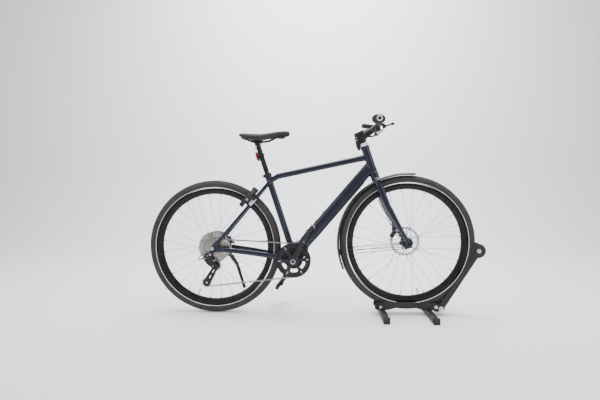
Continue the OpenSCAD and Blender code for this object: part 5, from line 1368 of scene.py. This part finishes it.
def saddle_skin_mesh(shrink, drop):
    """The crowned cover, closed underneath a little above its turned edge."""
    bm = bmesh.new()
    rows = []
    for x, half_width, top, skirt in STATIONS:
        half = saddle_section(half_width, top, skirt, shrink, drop)
        ring = [(y, z) for y, z in half]
        ring += [(half[-1][0] * 0.9, half[-1][1] + 1.2), (half[-1][0] * 0.55, half[-1][1] + 7),
                 (0, half[-1][1] + 9)]
        loop = ring + [(-y, z) for y, z in reversed(ring[1:-1])]
        rows.append([bm.verts.new((x, y, z)) for y, z in loop])
    for near, far in zip(rows, rows[1:]):
        edges = [bm.edges.get((a, b)) or bm.edges.new((a, b)) for row in (near, far) for a,
                 b in zip(row, row[1:] + row[:1])]
        bmesh.ops.bridge_loops(bm, edges=edges)
    bm.faces.new(rows[0])
    bm.faces.new(rows[-1])
    bmesh.ops.recalc_face_normals(bm, faces=bm.faces)
    return bm


bm = saddle_skin_mesh(1.0, 0.0)
saddle_cover = piece("saddle_cover", bm, saddle_skin, "seat", ["saddle"], crease=80)
rounding = saddle_cover.modifiers.new("rounding", "SUBSURF")
rounding.levels = rounding.render_levels = 2
bm = saddle_skin_mesh(0.965, 0.0)
bmesh.ops.translate(bm, verts=bm.verts, vec=(0, 0, -2.6))
piece("saddle_shell", bm, shell_resin, "seat", crease=60)
thread = finish("saddle_thread", (0.05, 0.05, 0.052), (0.08, 0.08, 0.083), 0.5, 0.7, spread=80, fine=2400,
                cells=0.8, depth=0.6)
for side, name in ((-1, "right"), (1, "left")):
    seam = []
    for x, half_width, top, skirt in STATIONS[2:-2]:
        y, z = saddle_section(half_width, top, skirt, 1.0, 0.0)[8]
        seam.append(Vector((x, side * y * 0.995, z + 0.2)))
    hose(f"saddle_seam_{name}", seam, 0.75, thread, "seat", sides=3)
bm = bmesh.new()
lofted(bm, [(Vector((160, y, 945)), 11, 8, 3) for y in (-46, -44, 44, 46)], 20)
lofted(bm, [(Vector((x, 0, 944)), 6, 17, 3) for x in (346, 350, 374, 378)], 20)
piece("saddle_rail_sockets", bm, shell_resin, "seat", crease=40)

# ---- Rear light ----
# A small upright lamp on the seat post: a black clip and strap, a black case and a domed red lens
# with moulded ribs.
lens_red = finish("lamp_lens_red", (0.55, 0.010, 0.014), (0.75, 0.02, 0.03), 0.08, 0.18, spread=90,
                  fine=520, cells=1.0, depth=0.6, coat=1.0)
lens_red.node_tree.nodes["Principled BSDF"].inputs["Emission Color"].default_value = (0.9, 0.02, 0.03, 1)
lens_red.node_tree.nodes["Principled BSDF"].inputs["Emission Strength"].default_value = 0.25
back = POST_UP.cross(Vector((0, 1, 0))).normalized()
if back.x > 0:
    back.negate()
lamp_mid = on_seat(584)
bm = bmesh.new()
lofted(bm, [(lamp_mid + back * 19 + POST_UP * s, 4.5 * h, 13 * h, 3.2) for s,
            h in ((-24, 0.8), (-22, 1), (22, 1), (24, 0.8))], 28)
lofted(bm, [(lamp_mid + back * 15 + POST_UP * s, 4, 8, 3) for s in (-9, 9)], 20)
turned(bm, [(13.8, -5.5), (17, -5.5), (17.5, -4.8), (17.5, 4.8), (17, 5.5), (13.8, 5.5)], lamp_mid, POST_UP,
       48, loop=True)
piece("rear_light_case", bm, satin_black, "seat", ["rear_light"], crease=40)
bm = bmesh.new()
lofted(bm, [(lamp_mid + back * (23.5 + 2.6 * (1 - (s / 22) ** 2)) + POST_UP * s, 3.4 * h + 1, 11.5 * h, 2.4)
            for s, h in ((-21.5, 0.5), (-20, 0.85), (-14, 1), (-7, 1.03), (0, 1.04), (7, 1.03), (14, 1),
                         (20, 0.85), (21.5, 0.5))], 28)
piece("rear_light_lens", bm, lens_red, "seat", crease=60)

# ---- Ring lock ----
# A horseshoe lock round the rear tyre behind the seat stays: a moulded case on two brackets, and a
# chromed key barrel on the right.
LOCK_LEAN = math.radians(54.5)
LOCK = REAR_HUB + 324 * Vector((math.cos(LOCK_LEAN), 0, math.sin(LOCK_LEAN)))
lock_place = Matrix.Translation(LOCK) @ Matrix.Rotation(-LOCK_LEAN, 4, "Y")
lock_case = finish("lock_case", (0.012, 0.012, 0.013), (0.022, 0.022, 0.023), 0.46, 0.62, spread=40,
                   fine=800, cells=0.7, depth=0.4)
bm = bmesh.new()
row = bmesh.ops.create_circle(bm, segments=24, radius=1)["verts"]
start_row = list(row)
shoe_up = lock_place.to_3x3() @ Vector((0, 0, 1))
for k in range(31):
    angle = math.radians(-118 + 236 * k / 30)
    swell = 1 + 0.15 * math.cos(angle * 1.5)
    out = Vector((math.cos(angle), math.sin(angle), 0))
    if k:
        row = next_ring(bm, row)
    for spoke, vert in enumerate(row):
        x, z = oval(math.tau * spoke / 24, 2.8)
        vert.co = (lock_place @ (out * 50) + lock_place.to_3x3() @ out * (x * 8.8 * swell)
                   + shoe_up * (z * 12.6 * swell))
bm.faces.new(start_row)
bm.faces.new(row)
for centre, half in (((53, 0, 0), (10, 22, 15.5)), ((-6, -51, 0), (21, 9.4, 15)),
                     ((-34, -47, 9), (22, 8, 12)), ((16, -45, -20), (8.5, 8.5, 14)),
                     ((16, 45, -20), (8.5, 8.5, 14))):
    bmesh.ops.create_cube(bm, size=2, matrix=lock_place @ Matrix.Translation(centre)
                          @ Matrix.Diagonal((*half, 1)))
bmesh.ops.recalc_face_normals(bm, faces=bm.faces)
barrel_room = bmesh.new()
barrel_axis = lock_place.to_3x3() @ Vector((0, 1, 0))
turned(barrel_room, [(0, 0), (6.7, 0), (6.7, 14), (0, 14)], lock_place @ Vector((-6, -62.4, 0)),
       barrel_axis, 32)
key_side = fused(bm, 1.3, 5, (barrel_room,))
piece("lock_case", key_side, lock_case, "frame", ["ring_lock"], crease=45)
chrome = finish("lock_chrome", (0.66, 0.67, 0.69), (0.78, 0.79, 0.80), 0.08, 0.18, metallic=1.0, spread=150,
                fine=1800, cells=0.1, depth=0.05)
paint("lock_cylinder", chrome)
bm = bmesh.new()
barrel_face = lock_place @ Vector((-6, -65, 0))
turned(bm, [(4.6, 0), (5.9, 0), (6.1, 0.3), (5.8, 0.8), (4.9, 0.8)], barrel_face, -barrel_axis, 36, loop=True)
piece("lock_barrel_rim", bm, chrome, "lock_cylinder")
bm = bmesh.new()
bmesh.ops.create_cube(bm, size=1, matrix=Matrix.Translation(barrel_face) @ lock_place.to_3x3().to_4x4()
                      @ Matrix.Diagonal((1.5, 0.7, 7, 1)))
piece("lock_keyway", bm, cap_plastic, "lock_cylinder", bevel=0.2)

# ---- Stay label ----
# A plain paper label with a violet edge, wrapped round the right seat stay; its print is left out.
label_paper = finish("label_paper", (0.70, 0.71, 0.73), (0.80, 0.81, 0.82), 0.45, 0.6, spread=60, fine=1500,
                     depth=0.1)
label_ink = finish("label_violet", (0.16, 0.09, 0.42), (0.22, 0.13, 0.5), 0.45, 0.6, spread=60, fine=1500,
                   depth=0.1)
stay_low, stay_high = Vector((20, -70, 382)), on_seat(440, 4, -17)
stay_run = (stay_high - stay_low).normalized()
along_stay = (604 - stay_low.z) / stay_run.z
for name, spans, grow, material in (("paper", ((-21, 21),), 0.75, label_paper),
                                    ("border", ((-24, -21), (21, 24)), 0.8, label_ink)):
    bm = bmesh.new()
    for low, high in spans:
        lofted(bm, [(stay_low + stay_run * (along_stay + s), 9 + grow, 6.5 + grow, 2.5)
                    for s in (low, high)], 32)
    piece(f"stay_label_{name}", bm, material, "frame", crease=50)

# ---- Kickstand ----
# A forged black leg on a spring hinge at the left drop-out, shown down, with a plastic foot and a
# red release button.
kick = Vector((58, 0, 304))
kick_red = finish("release_red", (0.45, 0.02, 0.02), (0.6, 0.04, 0.04), 0.35, 0.5, spread=100, fine=1400,
                  depth=0.1)
knee, foot = Vector((98, 100, 242)), Vector((136, 124, 99))
bm = bmesh.new()
lofted(bm, [(kick + Vector((0, y, 0)), r, r, 2) for y,
            r in ((78.8, 12), (80, 13.8), (93.6, 13.8), (95, 12.4))], 32)
lofted(bm, [(kick + Vector((0, 89, 0)), 12, 7, 2.4), (kick + Vector((14, 92, -22)), 11.5, 7, 2.4),
            (knee, 10.4, 8, 2.1), (knee.lerp(foot, 0.12), 9.6, 8, 2), (knee.lerp(foot, 0.74), 8.6, 8.4, 2)],
       28)
kick_skin = fused(bm, 1.2, 4)
turned(kick_skin, [(0, 69), (5, 69), (5, 80), (0, 80)], kick, (0, 1, 0), 24)
piece("kickstand_leg", kick_skin, satin_black, "kickstand", ["kickstand"], crease=45)
bm = bmesh.new()
heading = (foot - knee).normalized()
turned(bm, [(0, 0), (8.4, 0), (9.4, 1), (9.8, 4), (9.2, 12), (9.6, 30), (10, 34), (9.6, 37), (7.6, 38.4),
            (0, 38.4)], foot - heading * 38.6, heading, 36)
piece("kickstand_foot", bm, pod_plastic, "kickstand", crease=35)
bm = bmesh.new()
turned(bm, [(0, 0), (3.6, 0), (4, 0.5), (3.6, 1.6), (0, 2)], foot - heading * 44 + Vector((0, -7, 0)),
       (0, -1, 0), 24)
turned(bm, [(0, 0), (4.2, 0), (4.6, 0.6), (4, 2), (0, 2.6)], kick + Vector((0, 95, 0)), (0, 1, 0), 28)
piece("kickstand_buttons", bm, kick_red, "kickstand")

# ---- Wheel holder ----
# Laser-cut steel side plates on two square foot bars with rubber end caps, two round cradle bars,
# and a swing arm whose flanged roller rests against the tyre. The steel is powder coated black.
powder = finish("powder_coat", (0.012, 0.012, 0.013), (0.024, 0.024, 0.026), 0.45, 0.62, spread=16,
                fine=1000, cells=0.7, depth=0.4)
foot_rubber = finish("foot_cap_rubber", (0.016, 0.016, 0.016), (0.030, 0.029, 0.028), 0.66, 0.85, spread=40,
                     fine=900, depth=0.3)
roller = Vector((1399.18, 0, 346.55))
pivot = roller - 363 * Vector((math.cos(math.radians(58)), 0, math.sin(math.radians(58))))
plate_back = pivot.x + 18 - 366
rear_foot, front_foot = pivot.x - 306, pivot.x - 60


def cradle(angle):
    """The centre of a cradle bar that stands just clear of the tyre."""
    return FRONT_HUB + 369.6 * Vector((math.cos(math.radians(angle)), 0, math.sin(math.radians(angle))))


outline = ([(plate_back, 52), (plate_back + 10, 64), (plate_back + 26, 72.4),
            (plate_back + 38, 74)] + [(pivot.x - 60, 70.6), (pivot.x - 34, 68.6), (pivot.x - 4, 60),
                                      (pivot.x + 14, 52.6)] + arc((pivot.x + 6, 40), 13, 40, -50,
        6) + [(front_foot + 34, 22), (front_foot + 18, 30.2),
              (front_foot - 28, 30.2)] + [(front_foot - 44, 34), (front_foot - 66, 40.5),
                                          (front_foot - 95, 44.6), ((front_foot + rear_foot) / 2, 46),
                                          (rear_foot + 95, 44.6), (rear_foot + 66, 40.5),
                                          (rear_foot + 44, 34), (rear_foot + 28, 30.2)]
           + [(plate_back + 8, 30.2), (plate_back + 1, 38)])
holes = [arc((pivot.x, pivot.z), 6.4, 0, 345, 23)]
holes += [arc((cradle(a).x, cradle(a).z), 4.2, 0, 340, 17) for a in (-112, -66)]
for side, name in ((-1, "right"), (1, "left")):
    bm = bmesh.new()
    near, far = (-37, -32.2) if side < 0 else (32.2, 37)
    cut_plate(bm, [outline] + holes, near, far)
    piece(f"holder_plate_{name}", bm, powder, "stand", [f"stand_plate_{name}"], bevel=0.7)
bm = bmesh.new()
for x in (rear_foot, front_foot):
    lofted(bm, [(Vector((x, y, 16)), 14, 15, 9) for y in (-163, 163)], 40)
piece("holder_foot_bars", bm, powder, "stand", ["stand_feet"], crease=20)
bm = bmesh.new()
for x in (rear_foot, front_foot):
    for side in (-1, 1):
        lofted(bm, [(Vector((x, side * y, 16.5)), 16.5 * h, 17 * h, 6) for y,
                    h in ((160, 0.97), (162, 1), (172, 1), (175, 0.95), (176, 0.86))], 40)
        for y in (164.5, 167.5, 170.5):
            lofted(bm, [(Vector((x, side * (y + s), 16.5)), 16.5 * h, 17 * h, 6) for s,
                        h in ((-0.7, 0.98), (-0.4, 1.025), (0.4, 1.025), (0.7, 0.98))], 40)
low = [v for v in bm.verts if v.co.z < 1.2]
for vert in low:
    vert.co.z = max(vert.co.z, 0.0)
piece("holder_foot_caps", bm, foot_rubber, "stand", crease=35)
bm = bmesh.new()
for angle in (-112, -66):
    turned(bm, [(0, -32), (10.4, -32), (11, -31.4), (11, -12), (10.6, -11), (10.6, 11), (11, 12),
                (11, 31.4), (10.4, 32), (0, 32)], cradle(angle), steps=40)
piece("holder_cradle_bars", bm, satin_black, "stand", ["stand_cradle"])


def hex_head(bm, place, side, across, tall):
    """A hexagon bolt head with a chamfered top and a thin washer."""
    turned(bm, [(0, 0), (across * 0.72, 0), (across * 0.76, 0.4), (across * 0.72, 1.1), (0, 1.1)], place,
           (0, side, 0), 36)
    turned(bm, [(0, 1.1), (across / 1.73, 1.1), (across / 1.73, tall - 0.8), (across / 2.1, tall),
                (0, tall)], place, (0, side, 0), 6)


bm = bmesh.new()
for side in (-1, 1):
    hex_head(bm, Vector((pivot.x, side * 37, pivot.z)), side, 17, 8)
    for angle in (-112, -66):
        hex_head(bm, Vector((cradle(angle).x, side * 37, cradle(angle).z)), side, 12, 4.4)
turned(bm, [(0, -39), (6, -39), (6, 39), (0, 39)], pivot, steps=32)
piece("holder_bolts", bm, bolt_steel, "stand", ["stand_bolts"], crease=25)
bm = bmesh.new()
for side in (-1, 1):
    near, far = (-31.4, -27.4) if side < 0 else (27.4, 31.4)
    cut_plate(bm, [bar_outline((pivot.x, pivot.z), (roller.x, roller.z), 30),
                   arc((pivot.x, pivot.z), 6.1, 0, 345, 23), arc((roller.x, roller.z), 5.1, 0, 345, 23)],
              near, far)
piece("holder_arm_blades", bm, powder, "stand_arm", ["stand_arm"], bevel=0.8)
bm = bmesh.new()
arm_run = (roller - pivot)
turned(bm, [(6.1, -27.4), (12, -27.4), (12, 27.4), (6.1, 27.4)], pivot, steps=40, loop=True)
turned(bm, [(0, -27.4), (7, -27.4), (7, 27.4), (0, 27.4)],
       pivot + arm_run * 0.1 + 4 * Vector((math.cos(math.radians(-32)), 0, math.sin(math.radians(-32)))),
       steps=28)
piece("holder_arm_spacers", bm, powder, "stand_arm")
bm = bmesh.new()
for side in (-1, 1):
    hex_head(bm, Vector((roller.x, side * 31.4, roller.z)), side, 15, 7)
turned(bm, [(0, -33), (5, -33), (5, 33), (0, 33)], roller, steps=32)
piece("holder_roller_bolt", bm, bolt_steel, "stand_arm", ["roller_bolt"], crease=25)
bm = bmesh.new()
turned(bm, [(5.1, -27), (9, -27), (10, -26.6), (34, -26.8), (37, -26.4), (38, -25.6), (37.6, -25),
            (20, -24.8), (15, -23), (13, -18), (12.8, 0), (13, 18), (15, 23), (20, 24.8), (37.6, 25),
            (38, 25.6), (37, 26.4), (34, 26.8), (10, 26.6), (9, 27), (5.1, 27)], roller, steps=72,
       loop=True)
piece("holder_roller", bm, pod_plastic, "stand_roller", ["stand_roller"], crease=35)
